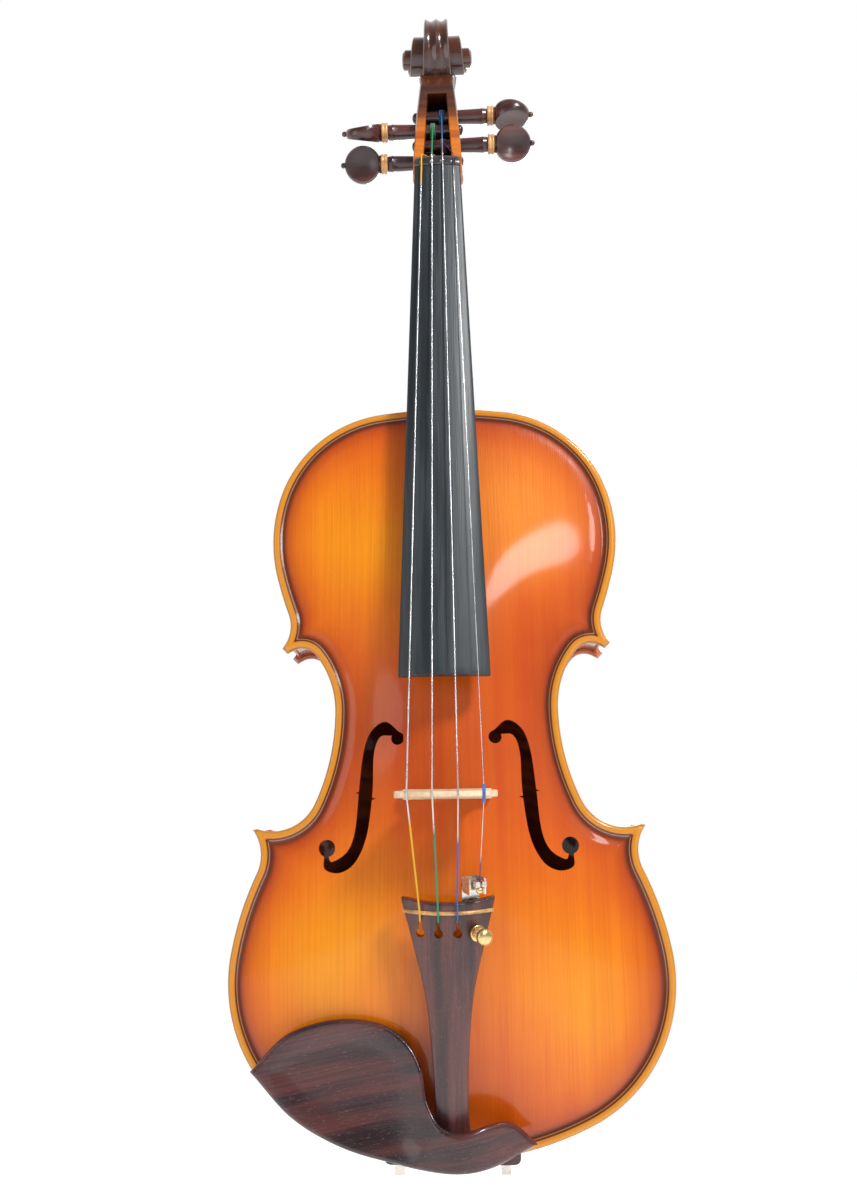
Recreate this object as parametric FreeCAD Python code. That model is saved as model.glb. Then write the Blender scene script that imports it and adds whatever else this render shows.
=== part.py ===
"""Full-size violin as a bench assembly: carved plates, ribs, neck, fittings, strings and chin rest.

Millimetres. +Z runs up the neck, +X is the treble (E string) side, and the belly faces -Y.
The origin is on the axis of the end button, where its round head ends.
Every piece is its own closed solid, or a group of like solids, in parts/NODE.step.
"""

import FreeCAD
import Part

import math
import os

V = FreeCAD.Vector

# Body: the plates lie either side of the ribs, whose mid-plane is y = 0.
BODY_LENGTH = 355.0
BODY_BOTTOM = 6.5  # z of the plates' bottom edge
RIB_HALF = 15.5  # half the height of the ribs
RIB_THICK = 1.0
OVERHANG = 2.5  # how far the plates stand out past the ribs
EDGE = 4.0  # thickness of the plates at the rim
ARCH_TOP = 16.0  # height of the belly over the ribs
ARCH_BACK = 14.5
PLATE_THICK = 3.0
WAIST = 53.7  # half the width of the body at its narrowest
WAIST_UP = 203.0  # height of the waist above the bottom edge
RIM_FLAT = 8.0  # width of the glued rim inside the plates
PURFLING_IN = 3.8
PURFLING_WIDE = 1.2
PURFLING_DEEP = 1.8

# The outline is four chains of tangent arcs: (radius, degrees), a left turn when the radius is positive.
LOWER_BOUT = [(145.0, 26.1), (70.7, 73.8), (142.8, 15.4), (-19.7, 62.3)]
UPPER_BOUT = [(-228.6, 7.9), (-61.1, 63.6), (-74.7, 33.0), (-209.2, 5.3), (17.0, 59.8)]
WAIST_TO_UPPER = [(-44.7, 38.3), (-8.7, 76.2), (-23.7, 9.1)]
WAIST_TO_LOWER = [(104.8, 24.6), (22.2, 84.6)]

# Neck and fingerboard. The board's crown is a straight line in the plane x = 0.
BODY_TOP = BODY_BOTTOM + BODY_LENGTH
NUT_Z = BODY_TOP + 132.5  # where the fingerboard meets the nut
NUT_DEEP = 6.0
BOARD_LENGTH = 272.0
BOARD_RADIUS = 42.0
BOARD_HALF_NUT = 12.0
BOARD_HALF_END = 21.4
BOARD_SIDE = 5.5  # thickness of the board at its sides
CROWN_NUT = -24.0  # y of the crown at the nut
CROWN_END = -52.3  # y of the crown at the other end
BOARD_END_Z = NUT_Z - BOARD_LENGTH
NECK_WRAP = 19.5  # neck and board together, at the nut
HEEL_HALF_TOP = 17.0
HEEL_HALF_BUTTON = 10.5
HEEL_INTO_BODY = 6.0

# Pegbox and scroll
VOLUTE_Z = 577.0
VOLUTE_Y = 7.0
VOLUTE_RADIUS = 21.5
PEG_TAPER = 1.0 / 30.0
PEG_RADIUS = 3.7  # at the outer wall, on the side of its head
PEG_COLLAR_X = 27.0
PEG_HEAD_X = 30.5
PEG_HEAD_RADIUS = 9.9
PEG_END_X = 12.6  # the small end, just proud of the far wall
PEG_CLEARANCE = 0.05
WINDING_RADIUS = 4.6
WINDING_WIDE = 3.6

# Strings: name, thickness, x at the nut, x on the bridge, then its peg: height, y, side of the head,
# degrees the head is turned by, x of the winding
STRINGS = [
    ("g", 0.80, -8.3, -17.1, 505.0, -7.6, -1, -25.0, -2.8),
    ("d", 0.78, -2.8, -5.7, 526.5, -3.2, -1, 58.0, -2.6),
    ("a", 0.70, 2.8, 5.7, 536.5, -0.1, 1, 85.0, 2.2),
    ("e", 0.40, 8.3, 17.1, 515.7, -5.9, 1, 25.0, 3.0),
]

# Bridge
BRIDGE_Z = BODY_TOP - 195.0
BRIDGE_TOP = -64.0  # y of its crown
BRIDGE_HALF_FEET = 20.8
BRIDGE_HALF_TOP = 23.2
BRIDGE_FOOT_THICK = 4.6
BRIDGE_TOP_THICK = 2.6

# Tailpiece, in its own frame: z' along it from its lower end, -y' outwards. It then leans by TAIL_LEAN.
TAIL_LENGTH = 110.0
TAIL_LOW = V(0, -24.0, 14.5)  # where its own frame starts, under its lower end
TAIL_LEAN = 9.4
TAIL_CROWN = -9.0  # y' of the crown
TAIL_RADIUS = 32.0
TAIL_THICK = 5.0
TAIL_HALF_WIDTHS = [(0.0, 9.0), (14.0, 7.6), (36.0, 7.7), (66.0, 10.2), (90.0, 16.0), (110.0, 21.4)]
TAIL_FRET_Z = 104.5
TAIL_HOLE_Z = 95.5
TAIL_SLOT = 5.7  # from the middle of a string hole to the end of its slot
TAIL_HOLES = [-12.4, -4.2, 4.2, 12.4]
TUNER_HOLE_RADIUS = 2.2

# End button, saddle and tail gut
BUTTON_RADIUS = 7.0
BUTTON_HEAD = 4.0
BUTTON_NECK = 4.2
BUTTON_SHANK = 3.9
BUTTON_REACH = 31.0
RIB_FACE_Z = BODY_BOTTOM + OVERHANG
GUT_RADIUS = 0.9
GUT_Z = 5.4
GUT_BEND = 2.6
SADDLE_HALF = 17.0
SADDLE_TOP = -24.5
SADDLE_DEEP = 6.5

# Chin rest
REST_OUTLINE = [
    (-90.5, 47.0), (-76.0, 61.5), (-60.0, 67.8), (-44.0, 69.2), (-29.0, 66.2), (-18.5, 58.5),
    (-12.8, 48.0), (-10.6, 36.0), (-5.0, 26.5), (4.0, 23.8), (16.0, 26.6), (27.0, 25.8), (37.2, 16.5),
]
REST_EDGE = [
    (37.2, 16.5), (20.0, 9.9), (0.0, 7.6), (-22.0, 8.9), (-48.0, 15.0), (-72.0, 28.0), (-90.5, 47.0),
]
REST_THICK = 5.0
POST_X = 23.5
FOOT_X = (17.6, 30.0)  # where a foot of the chin rest starts and ends across
POST_Z = 4.7
POST_RADIUS = 1.5
BARREL_RADIUS = 2.7
BARREL_HALF = 12.0
KEY_HOLE_RADIUS = 1.0
CORK = 1.2
CLAMP_GAP = 0.25  # between the lower corks and the back plate


# ---------------------------------------------------------------- helpers


def chain(x, z, heading, arcs):
    """Tangent arcs from (x, z): a list of (start, middle, end) points."""
    angle = math.radians(heading)
    found = []
    for radius, degrees in arcs:
        turn = math.copysign(math.radians(degrees), radius)
        centre_x = x - radius * math.sin(angle)
        centre_z = z + radius * math.cos(angle)

        def at(a):
            return (centre_x + radius * math.sin(a), centre_z - radius * math.cos(a))

        found.append(((x, z), at(angle + turn / 2), at(angle + turn)))
        angle += turn
        x, z = found[-1][2]
    return found


def backwards(arcs):
    return [(end, middle, start) for start, middle, end in reversed(arcs)]


def outline_arcs():
    """The right half of the body from bottom to top, and its mirror from top to bottom."""
    lower = chain(0, 0, 0, LOWER_BOUT)
    to_lower = backwards(chain(WAIST, WAIST_UP, -90, WAIST_TO_LOWER))
    to_upper = chain(WAIST, WAIST_UP, 90, WAIST_TO_UPPER)
    upper = backwards(chain(0, BODY_LENGTH, 0, UPPER_BOUT))
    right = lower + [(lower[-1][2], None, to_lower[0][0])] + to_lower + to_upper
    right += [(to_upper[-1][2], None, upper[0][0])] + upper
    return right + mirrored_with_lines(right)


def mirrored_with_lines(arcs):
    flipped = []
    for start, middle, end in reversed(arcs):
        points = [None if p is None else (-p[0], p[1]) for p in (end, middle, start)]
        flipped.append(tuple(points))
    return flipped


def body_wire(inset=0.0):
    edges = []
    for start, middle, end in outline_arcs():
        a, b = [V(p[0], 0, p[1] + BODY_BOTTOM) for p in (start, end)]
        if middle is None:
            edges.append(Part.LineSegment(a, b).toShape())
        else:
            edges.append(Part.Arc(a, V(middle[0], 0, middle[1] + BODY_BOTTOM), b).toShape())
    wire = Part.Wire(edges)
    return wire if not inset else wire.makeOffset2D(-inset, 2)


def prism(wire, y0, y1):
    solid = Part.Face(wire).extrude(V(0, y1 - y0, 0))
    solid.translate(V(0, y0, 0))
    return solid


def body_prism(inset, y0, y1):
    return prism(body_wire(inset), y0, y1)


def ring(inset, wide, y0, y1):
    return body_prism(inset, y0, y1).cut(body_prism(inset + wide, y0 - 1, y1 + 1))


def box(x0, x1, y0, y1, z0, z1):
    return Part.makeBox(x1 - x0, y1 - y0, z1 - z0, V(x0, y0, z0))


def rod(radius, start, end):
    way = end.sub(start)
    return Part.makeCylinder(radius, way.Length, start, way)


def cone(r0, r1, start, end):
    way = end.sub(start)
    return Part.makeCone(r0, r1, way.Length, start, way)


def joined(shapes):
    whole = shapes[0]
    for shape in shapes[1:]:
        whole = whole.fuse(shape)
    return whole.removeSplitter()


def spline_wire(points, closed=False):
    curve = Part.BSplineCurve()
    curve.interpolate(points, PeriodicFlag=closed)
    return curve.toShape()


def polygon(points):
    return Part.Wire(Part.makePolygon(points + points[:1]).Edges)


def largest(shape):
    return max(shape.Solids, key=lambda s: s.Volume)


# ---------------------------------------------------------------- arching


def smooth(t):
    t = min(1.0, max(0.0, t))
    return t * t * (3 - 2 * t)


def arch_half_width(up):
    """Half the width that the arching spans, without the corners."""
    lower, upper = 99.5, 81.0
    if up < 76.5:
        return lower * math.sqrt(max(0.02, 1 - ((76.5 - up) / 79.0) ** 2))
    if up < WAIST_UP:
        return lower + (WAIST - 3.5 - lower) * smooth((up - 76.5) / (WAIST_UP - 76.5))
    if up < 286.0:
        return WAIST - 3.5 + (upper - WAIST + 3.5) * smooth((up - WAIST_UP) / (286.0 - WAIST_UP))
    return upper * math.sqrt(max(0.02, 1 - ((up - 286.0) / 72.0) ** 2))


def arch(x, up, rise):
    """Height of a plate's outside over the ribs at x, and at a height above the bottom edge."""
    along = min(1.0, max(0.0, (up - 5.0) / (BODY_LENGTH - 10.0)))
    long_arch = max(0.0, 1 - abs(2 * along - 1) ** 2.7) ** 1.25
    across = min(1.0, abs(x) / arch_half_width(up))
    return EDGE + (rise - EDGE) * long_arch * (0.5 + 0.5 * math.cos(math.pi * across)) ** 0.92


def arch_solid(side, rise, drop, reach):
    """The space outside (reach > 0) or inside (reach < 0) the arched surface of one plate."""
    rows = []
    for i in range(27):
        x = -116.0 + 232.0 * i / 26
        ups = [-8.0 + 380.0 * j / 40 for j in range(41)]
        rows.append([V(x, side * (RIB_HALF + arch(x, up, rise) - drop), up + BODY_BOTTOM) for up in ups])
    surface = Part.BSplineSurface()
    surface.interpolate(rows)
    return surface.toShape().extrude(V(0, side * reach, 0))


def plate(side, rise):
    """(carved plate, the hollow inside its arch, purfling)"""
    y_rim, y_out = side * RIB_HALF, side * (RIB_HALF + 30)
    blank = body_prism(0, min(y_rim, y_out), max(y_rim, y_out))
    if side > 0:
        button = V(0, y_rim, BODY_TOP + 1.5)
        blank = joined([blank, rod(HEEL_HALF_BUTTON, button, button + V(0, 30, 0))])
    carved = blank.cut(arch_solid(side, rise, 0.0, 60))
    hollow = body_prism(RIM_FLAT, min(y_rim, y_out), max(y_rim, y_out))
    hollow = hollow.common(arch_solid(side, rise, PLATE_THICK, -60))
    floor = side * (RIB_HALF + EDGE - PURFLING_DEEP)
    inlay = ring(PURFLING_IN, PURFLING_WIDE, min(floor, y_out), max(floor, y_out)).common(carved)
    return carved.cut(hollow).cut(inlay), hollow, inlay


# ---------------------------------------------------------------- body


def sound_hole(side):
    """One f-hole: two round eyes and the curved stem between them, as a cutter through the belly."""
    def at(x, up):
        return V(side * x, 0, up + BODY_BOTTOM)

    outer = [(22.0, 191.6), (29.0, 196.9), (36.2, 192.3), (39.9, 181.3), (41.9, 163.5), (43.6, 146.0),
             (47.3, 136.6), (54.4, 132.0), (56.2, 134.4)]
    inner = [(58.4, 134.6), (58.0, 128.6), (51.0, 126.9), (43.6, 131.4), (38.0, 143.4), (35.2, 163.5),
             (34.6, 181.3), (31.6, 189.6), (26.0, 190.2)]
    edges = [spline_wire([at(*p) for p in outer]), Part.LineSegment(at(*outer[-1]), at(*inner[0])).toShape(),
             spline_wire([at(*p) for p in inner]), Part.LineSegment(at(*inner[-1]), at(*outer[0])).toShape()]
    stem = prism(Part.Wire(edges), -40, -10)
    eyes = [rod(3.1, at(23.0, 188.8) + V(0, -40, 0), at(23.0, 188.8) + V(0, -10, 0)),
            rod(4.0, at(57.0, 138.2) + V(0, -40, 0), at(57.0, 138.2) + V(0, -10, 0))]
    nicks = [box(min(side * x, side * (x + 1.6)), max(side * x, side * (x + 1.6)), -40, -10,
                 BODY_BOTTOM + up, BODY_BOTTOM + up + 1.0) for x, up in ((33.9, 160.3), (41.2, 163.2))]
    return joined([stem] + eyes + nicks)


def rib_regions():
    """Six regions that part the rib garland at the corners, the end button and the neck."""
    low, high, top = BODY_BOTTOM + 147.4, BODY_BOTTOM + 232.8, BODY_TOP + 10
    regions = {}
    for name, s in (("left", -1), ("right", 1)):
        to_low = [(0, low - 8), (s * 80, low - 8), (s * 91.7, low), (s * 130, low + 20)]
        to_high = [(s * 130, high - 20), (s * 78.4, high), (s * 68, high + 8), (0, high + 8)]
        lower = [(0, -20), (s * 130, -20)] + to_low[::-1]
        waist = to_low + to_high
        upper = to_high[::-1] + [(s * 130, top), (0, top)]
        for part_name, points in (("lower", lower), ("waist", waist), ("upper", upper)):
            wire = polygon([V(x, 0, z) for x, z in points])
            regions[f"rib_{part_name}_{name}"] = prism(wire, -RIB_HALF, RIB_HALF)
    return regions


def ribs(cutters):
    garland = ring(OVERHANG, RIB_THICK, -RIB_HALF, RIB_HALF)
    for cutter in cutters:
        garland = garland.cut(cutter)
    return {name: largest(garland.common(region)) for name, region in rib_regions().items()}


def blocks(cutters):
    """End block, neck block and four corner blocks, all fitted inside the ribs."""
    inside = body_prism(OVERHANG + RIB_THICK, -RIB_HALF, RIB_HALF)
    for cutter in cutters:
        inside = inside.cut(cutter)
    bottom = inside.common(box(-25, 25, -20, 20, 0, BODY_BOTTOM + 19))
    top = inside.common(box(-26, 26, -20, 20, BODY_TOP - 21, BODY_TOP))
    corners = []
    for s in (-1, 1):
        for x0, x1, up0, up1 in ((66, 96, 136, 158), (58, 84, 224, 248)):
            ends = sorted((s * x0, s * x1))
            zone = box(ends[0], ends[1], -20, 20, BODY_BOTTOM + up0, BODY_BOTTOM + up1)
            corners.append(largest(inside.common(zone)))
    blocks_made = {"end_block": largest(bottom), "neck_block": largest(top)}
    blocks_made["corner_blocks"] = Part.Compound(corners)
    return blocks_made


def linings(blocks_made, neck_made, side):
    """Six thin strips that widen the gluing edge of the ribs, between the blocks."""
    y0, y1 = sorted((side * (RIB_HALF - 7.5), side * RIB_HALF))
    strip = ring(OVERHANG + RIB_THICK, 2.0, y0, y1).cut(neck_made)
    for block in blocks_made.values():
        for solid in block.Solids:
            strip = strip.cut(solid)
    return Part.Compound([s for s in strip.Solids if s.Volume > 200])


def bass_bar(hollow):
    side = [V(-17.5 - 2.8, -31, 62), V(-17.5 - 2.8, -31, 332)]
    under = Part.Arc(side[1] + V(0, 12, 0), V(-17.5 - 2.8, -16.2, 195), side[0] + V(0, 12, 0)).toShape()
    edges = [Part.LineSegment(*side).toShape(),
             Part.LineSegment(side[1], side[1] + V(0, 12, 0)).toShape(), under,
             Part.LineSegment(side[0] + V(0, 12, 0), side[0]).toShape()]
    return largest(Part.Face(Part.Wire(edges)).extrude(V(5.6, 0, 0)).common(hollow))


def sound_post(hollow_top, hollow_back):
    post = rod(3.1, V(16.5, -40, BRIDGE_Z - 6), V(16.5, 40, BRIDGE_Z - 6))
    ends = hollow_top.fuse(hollow_back).fuse(box(-80, 80, -RIB_HALF, RIB_HALF, 60, 300))
    return largest(post.common(ends.removeSplitter()))


# ---------------------------------------------------------------- neck


def crown_y(z):
    return CROWN_NUT + (CROWN_END - CROWN_NUT) * (NUT_Z - z) / BOARD_LENGTH


def board_half(z):
    return BOARD_HALF_NUT + (BOARD_HALF_END - BOARD_HALF_NUT) * (NUT_Z - z) / BOARD_LENGTH


def board_side_y(z):
    half = board_half(z)
    return crown_y(z) + BOARD_RADIUS - math.sqrt(BOARD_RADIUS ** 2 - half ** 2)


def board_wire(z, lift=0.0):
    half, side = board_half(z), board_side_y(z)
    under = side + BOARD_SIDE
    corners = [V(-half, under, z), V(-half, side - lift, z), V(half, side - lift, z), V(half, under, z)]
    crown = Part.Arc(corners[1], V(0, crown_y(z) - lift, z), corners[2]).toShape()
    edges = [Part.LineSegment(corners[0], corners[1]).toShape(), crown,
             Part.LineSegment(corners[2], corners[3]).toShape(),
             Part.LineSegment(corners[3], corners[0]).toShape()]
    return Part.Wire(edges)


def fingerboard():
    return Part.makeLoft([board_wire(BOARD_END_Z), board_wire(NUT_Z)], True, True)


def nut():
    """Ebony nut, a little higher than the board, with a rounded groove for each string."""
    block = Part.makeLoft([board_wire(NUT_Z, 0.9), board_wire(NUT_Z + NUT_DEEP, 0.3)], True, True)
    for name, thick, x_nut, *rest in STRINGS:
        low, high = string_at_nut(x_nut, thick, -8), string_at_nut(x_nut, thick, 18)
        block = block.cut(rod(thick / 2 + 0.05, low, high))
    return largest(block)


def string_at_nut(x, thick, dz):
    """A point on a string's line through the nut, dz above the nut's lower face."""
    top = crown_y(NUT_Z) + BOARD_RADIUS - math.sqrt(BOARD_RADIUS ** 2 - x * x) - 0.9
    slope = (CROWN_END - CROWN_NUT) / BOARD_LENGTH * 1.25
    return V(x, top - thick / 2 + 0.35 - slope * dz, NUT_Z + dz)


def shaft_wire(z, wrap, half):
    """The rounded back of the neck at one height, under the board."""
    y_flat = board_side_y(z) + BOARD_SIDE - 1.0
    depth = crown_y(z) + wrap - y_flat
    a, b = V(-half, y_flat, z), V(half, y_flat, z)
    back = spline_wire([b, V(half * 0.93, y_flat + depth * 0.45, z), V(half * 0.6, y_flat + depth * 0.87, z),
                        V(0, y_flat + depth, z), V(-half * 0.6, y_flat + depth * 0.87, z),
                        V(-half * 0.93, y_flat + depth * 0.45, z), a])
    return Part.Wire([Part.LineSegment(a, b).toShape(), back])


def heel():
    """The foot of the neck, let into the neck block, narrowing to the button on the back plate."""
    foot = BODY_TOP - OVERHANG - HEEL_INTO_BODY
    sections = []
    for y, half, reach in ((board_side_y(BODY_TOP) + BOARD_SIDE, HEEL_HALF_TOP, 26.0), (-15.5, 16.0, 21.0),
                           (0.0, 13.2, 15.5), (RIB_HALF, HEEL_HALF_BUTTON, 13.5)):
        front = V(-half, y, foot), V(half, y, foot)
        top = BODY_TOP + reach - 3.0
        bow = Part.Arc(V(half, y, top - half * 0.55), V(0, y, top), V(-half, y, top - half * 0.55)).toShape()
        edges = [Part.LineSegment(*front).toShape(),
                 Part.LineSegment(front[1], V(half, y, top - half * 0.55)).toShape(),
                 bow, Part.LineSegment(V(-half, y, top - half * 0.55), front[0]).toShape()]
        sections.append(Part.Wire(edges))
    return Part.makeLoft(sections, True, False)


def pegbox_side():
    """Side view of the pegbox, from the nut to the throat under the scroll."""
    front = [(NUT_Z - 1, board_side_y(NUT_Z) + BOARD_SIDE), (NUT_Z + NUT_DEEP, -19.5), (530.0, -13.0),
             (552.0, -6.5)]
    throat = [(560.0, -3.0), (572.0, 4.0)]
    back = [(580.0, 22.0), (566.0, 25.5), (548.0, 20.5), (526.0, 13.5), (508.0, 8.5), (496.0, 3.0),
            (NUT_Z - 1, -4.0)]
    return polygon([V(0, y, z) for z, y in front + throat + back])


def pegbox():
    """Pegbox walls narrow upwards; a slot is cut down between them."""
    block = Part.Face(pegbox_side()).extrude(V(40, 0, 0))
    block.translate(V(-20, 0, 0))
    widths = [(-13.2, NUT_Z - 2), (-12.9, 500.0), (-11.2, 530.0), (-9.0, 556.0), (-7.4, 582.0)]
    taper = [V(x, 0, z) for x, z in widths] + [V(-x, 0, z) for x, z in reversed(widths)]
    block = block.common(prism(polygon(taper), -60, 60))
    slot = [V(-7.6, 0, NUT_Z + NUT_DEEP), V(-5.0, 0, 545.0), V(5.0, 0, 545.0), V(7.6, 0, NUT_Z + NUT_DEEP)]
    hollow = prism(polygon(slot), -60, 60)
    floor = [(498.0, -3.5), (512.0, 2.5), (530.0, 7.5), (546.0, 8.0), (546.0, -60.0), (498.0, -60.0)]
    floor_zone = Part.Face(polygon([V(-20, y, z) for z, y in floor])).extrude(V(40, 0, 0))
    return block.cut(hollow.common(floor_zone))


def scroll():
    """The volute as three stepped turns that grow out towards the eyes."""
    turns = [(VOLUTE_RADIUS, 6.4, 0.0, 0.0), (15.0, 12.4, 0.0, 0.0), (10.2, 16.0, 0.5, -0.5),
             (5.2, 19.2, 0.5, -0.5)]
    discs = [rod(r, V(-half, VOLUTE_Y + dy, VOLUTE_Z + dz), V(half, VOLUTE_Y + dy, VOLUTE_Z + dz))
             for r, half, dy, dz in turns]
    return joined(discs)


def neck():
    shaft = Part.makeLoft([shaft_wire(NUT_Z, NECK_WRAP, 12.0), shaft_wire(440.0, 20.0, board_half(440.0)),
                           shaft_wire(BODY_TOP + 16, 21.5, board_half(BODY_TOP + 16)),
                           shaft_wire(BODY_TOP - 2, 24.0, board_half(BODY_TOP - 2))], True, False)
    blank = joined([shaft, heel(), pegbox(), scroll()])
    over_board = Part.makeLoft([board_wire(BOARD_END_Z, 20), board_wire(NUT_Z, 20)], True, True)
    blank = blank.cut(over_board).cut(nut_space())
    for string in STRINGS:
        blank = blank.cut(peg_space(string))
    return largest(blank)


def nut_space():
    return Part.makeLoft([board_wire(NUT_Z - 0.01, 20), board_wire(NUT_Z + NUT_DEEP, 20)], True, True)


# ---------------------------------------------------------------- pegs


def peg_radius(along):
    """Radius of a peg's shank, along from its head's side (+) to its small end (-)."""
    return PEG_RADIUS + (along - 12.0) * PEG_TAPER


def peg_space(string):
    name, thick, x_nut, x_bridge, z, y, side, turned, x_wind = string
    a, b = V(-side * 30, y, z), V(side * 24, y, z)
    return cone(peg_radius(-30) + PEG_CLEARANCE, peg_radius(24) + PEG_CLEARANCE, a, b)


def peg(string):
    """Shank, collar seat, flat oval head and pip, turned to its rest angle."""
    name, thick, x_nut, x_bridge, z, y, side, turned, x_wind = string
    ends = V(-PEG_END_X, 0, 0), V(PEG_COLLAR_X, 0, 0)
    shank = cone(peg_radius(-PEG_END_X), peg_radius(PEG_COLLAR_X), *ends)
    tip = Part.makeSphere(peg_radius(-PEG_END_X), V(-PEG_END_X, 0, 0))
    tip = tip.common(box(-PEG_END_X - 1.2, 0, -9, 9, -9, 9))
    stem = cone(peg_radius(PEG_COLLAR_X), 4.6, V(PEG_COLLAR_X, 0, 0), V(PEG_HEAD_X + 3, 0, 0))
    centre = PEG_HEAD_X + 9.8
    disc = rod(PEG_HEAD_RADIUS, V(centre, -5.2, 0), V(centre, 5.2, 0))
    far = centre + 11
    wedge = polygon([V(PEG_HEAD_X, -5.2, 0), V(PEG_HEAD_X, 5.2, 0), V(far, 2.3, 0), V(far, -2.3, 0)])
    thin = Part.Face(wedge).extrude(V(0, 0, 30))
    thin.translate(V(0, 0, -15))
    head = disc.common(thin)
    pip = Part.makeSphere(1.5, V(centre + PEG_HEAD_RADIUS + 0.6, 0, 0))
    whole = joined([shank, tip, stem, head, pip])
    whole = whole.cut(peg_collar_shape())
    return place_peg(whole, string)


def peg_collar_shape():
    """Boxwood ring round the peg where the shank meets the head."""
    ring_solid = rod(5.3, V(PEG_COLLAR_X, 0, 0), V(PEG_HEAD_X, 0, 0))
    core = rod(3.6, V(PEG_COLLAR_X - 1, 0, 0), V(PEG_HEAD_X + 1, 0, 0))
    return ring_solid.cut(core)


def peg_winding(string):
    """The turns of string on a peg, as a plain sleeve."""
    name, thick, x_nut, x_bridge, z, y, side, turned, x_wind = string
    along = x_wind * side
    a, b = V(along - WINDING_WIDE / 2, 0, 0), V(along + WINDING_WIDE / 2, 0, 0)
    core = cone(peg_radius(a.x - 1), peg_radius(b.x + 1), a - V(1, 0, 0), b + V(1, 0, 0))
    return place_peg(rod(WINDING_RADIUS, a, b).cut(core), string)


def place_peg(shape, string):
    name, thick, x_nut, x_bridge, z, y, side, turned, x_wind = string
    shape = shape.copy()
    shape.rotate(V(0, 0, 0), V(1, 0, 0), turned)
    if side < 0:
        shape.rotate(V(0, 0, 0), V(0, 0, 1), 180)
    shape.translate(V(0, y, z))
    return shape


# ---------------------------------------------------------------- bridge and strings


def bridge_crown(x):
    return BRIDGE_TOP + BOARD_RADIUS - math.sqrt(BOARD_RADIUS ** 2 - x * x)


def bridge_made():
    """Maple bridge: two feet, waist, heart and side eyes, thinner at the crown."""
    outside = arch_solid(-1, ARCH_TOP, 0.0, 60)
    half = BRIDGE_HALF_TOP
    right = [(BRIDGE_HALF_FEET, -22), (BRIDGE_HALF_FEET, -33.4), (15.5, -35.6), (13.6, -38.5), (15.6, -43.0),
             (19.0, -47.5), (half, -52.5)]
    tips = V(half, bridge_crown(half), 0), V(-half, bridge_crown(half), 0)
    crown = Part.Arc(tips[0], V(0, BRIDGE_TOP, 0), tips[1]).toShape()
    points = [V(x, y, 0) for x, y in right] + [V(half, bridge_crown(half), 0)]
    left = [V(-p.x, p.y, 0) for p in reversed(points)]
    edges = list(Part.makePolygon(points).Edges) + [crown] + list(Part.makePolygon(left).Edges)
    edges.append(Part.LineSegment(left[-1], points[0]).toShape())
    body = Part.Face(Part.Wire(edges)).extrude(V(0, 0, BRIDGE_FOOT_THICK))
    arch_gap = rod(9.2, V(0, -26.6, -1), V(0, -26.6, 9))
    heart = rod(2.6, V(0, -49.2, -1), V(0, -49.2, 9)).fuse(box(-1.4, 1.4, -49.2, -44.0, -1, 9))
    body = body.cut(arch_gap).cut(heart)
    for s in (-1, 1):
        body = body.cut(rod(2.9, V(s * 13.4, -45.4, -1), V(s * 13.4, -45.4, 9)))
    lean = polygon([V(-30, -20, BRIDGE_FOOT_THICK), V(-30, -70, BRIDGE_TOP_THICK - 0.3), V(-30, -70, 9),
                    V(-30, -20, 9)])
    body = body.cut(Part.Face(lean).extrude(V(60, 0, 0)))
    body.translate(V(0, 0, BRIDGE_Z))
    for string in STRINGS:
        path = string_path(string)
        for a, b in (path[2:4], path[3:5]):
            body = body.cut(rod(string[1] / 2 + 0.05, a, b))
    return largest(body.common(outside))


def tail_place(shape):
    shape = shape.copy()
    shape.rotate(V(0, 0, 0), V(1, 0, 0), TAIL_LEAN)
    shape.translate(TAIL_LOW)
    return shape


def tail_point(x, y, z):
    turn = FreeCAD.Rotation(V(1, 0, 0), TAIL_LEAN)
    return turn.multVec(V(x, y, z)) + TAIL_LOW


def tail_top(x):
    """y' of the tailpiece's arched top."""
    return TAIL_CROWN + TAIL_RADIUS - math.sqrt(TAIL_RADIUS ** 2 - x * x)


def tail_under(x):
    """y' of its hollowed underside."""
    return TAIL_CROWN + TAIL_RADIUS - math.sqrt((TAIL_RADIUS - TAIL_THICK) ** 2 - x * x)


def string_path(string):
    """Straight runs of one string: winding, nut, bridge, tailpiece fret and hole."""
    name, thick, x_nut, x_bridge, z, y, side, turned, x_wind = string
    index = [s[0] for s in STRINGS].index(name)
    start = V(x_wind, y - WINDING_RADIUS - thick / 2 - 0.25, z - 0.6)
    nut_back = string_at_nut(x_nut, thick, NUT_DEEP + 0.6)
    nut_front = string_at_nut(x_nut, thick, -0.3)
    on_bridge = V(x_bridge, bridge_crown(x_bridge) - thick / 2 - 0.05, BRIDGE_Z + BRIDGE_TOP_THICK / 2)
    x_hole = TAIL_HOLES[index]
    if name == "e":
        return [start, nut_back, nut_front, on_bridge, tuner_point(0, HOOK_Y, 21.9)]
    fret = tail_point(x_hole, tail_top(x_hole) - 1.4 - thick / 2, TAIL_FRET_Z)
    lip = tail_point(x_hole, tail_top(x_hole) - 0.3, TAIL_HOLE_Z + TAIL_SLOT - 0.6)
    ball = tail_point(x_hole, tail_under(x_hole) + 1.9, TAIL_HOLE_Z + TAIL_SLOT - 1.0)
    return [start, nut_back, nut_front, on_bridge, fret, lip, ball]


def string_solid(string):
    points, radius = string_path(string), string[1] / 2
    runs = [rod(radius, a, b) for a, b in zip(points, points[1:])]
    return joined(runs + [Part.makeSphere(radius, p) for p in points[1:-1]])


def string_balls():
    """The ball on the end of each string, held under its keyhole in the tailpiece."""
    balls = []
    for string in STRINGS[:3]:
        centre = string_path(string)[-1]
        balls.append(Part.makeSphere(1.7, centre).cut(string_solid(string)))
    return Part.Compound([largest(b) for b in balls])


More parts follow.
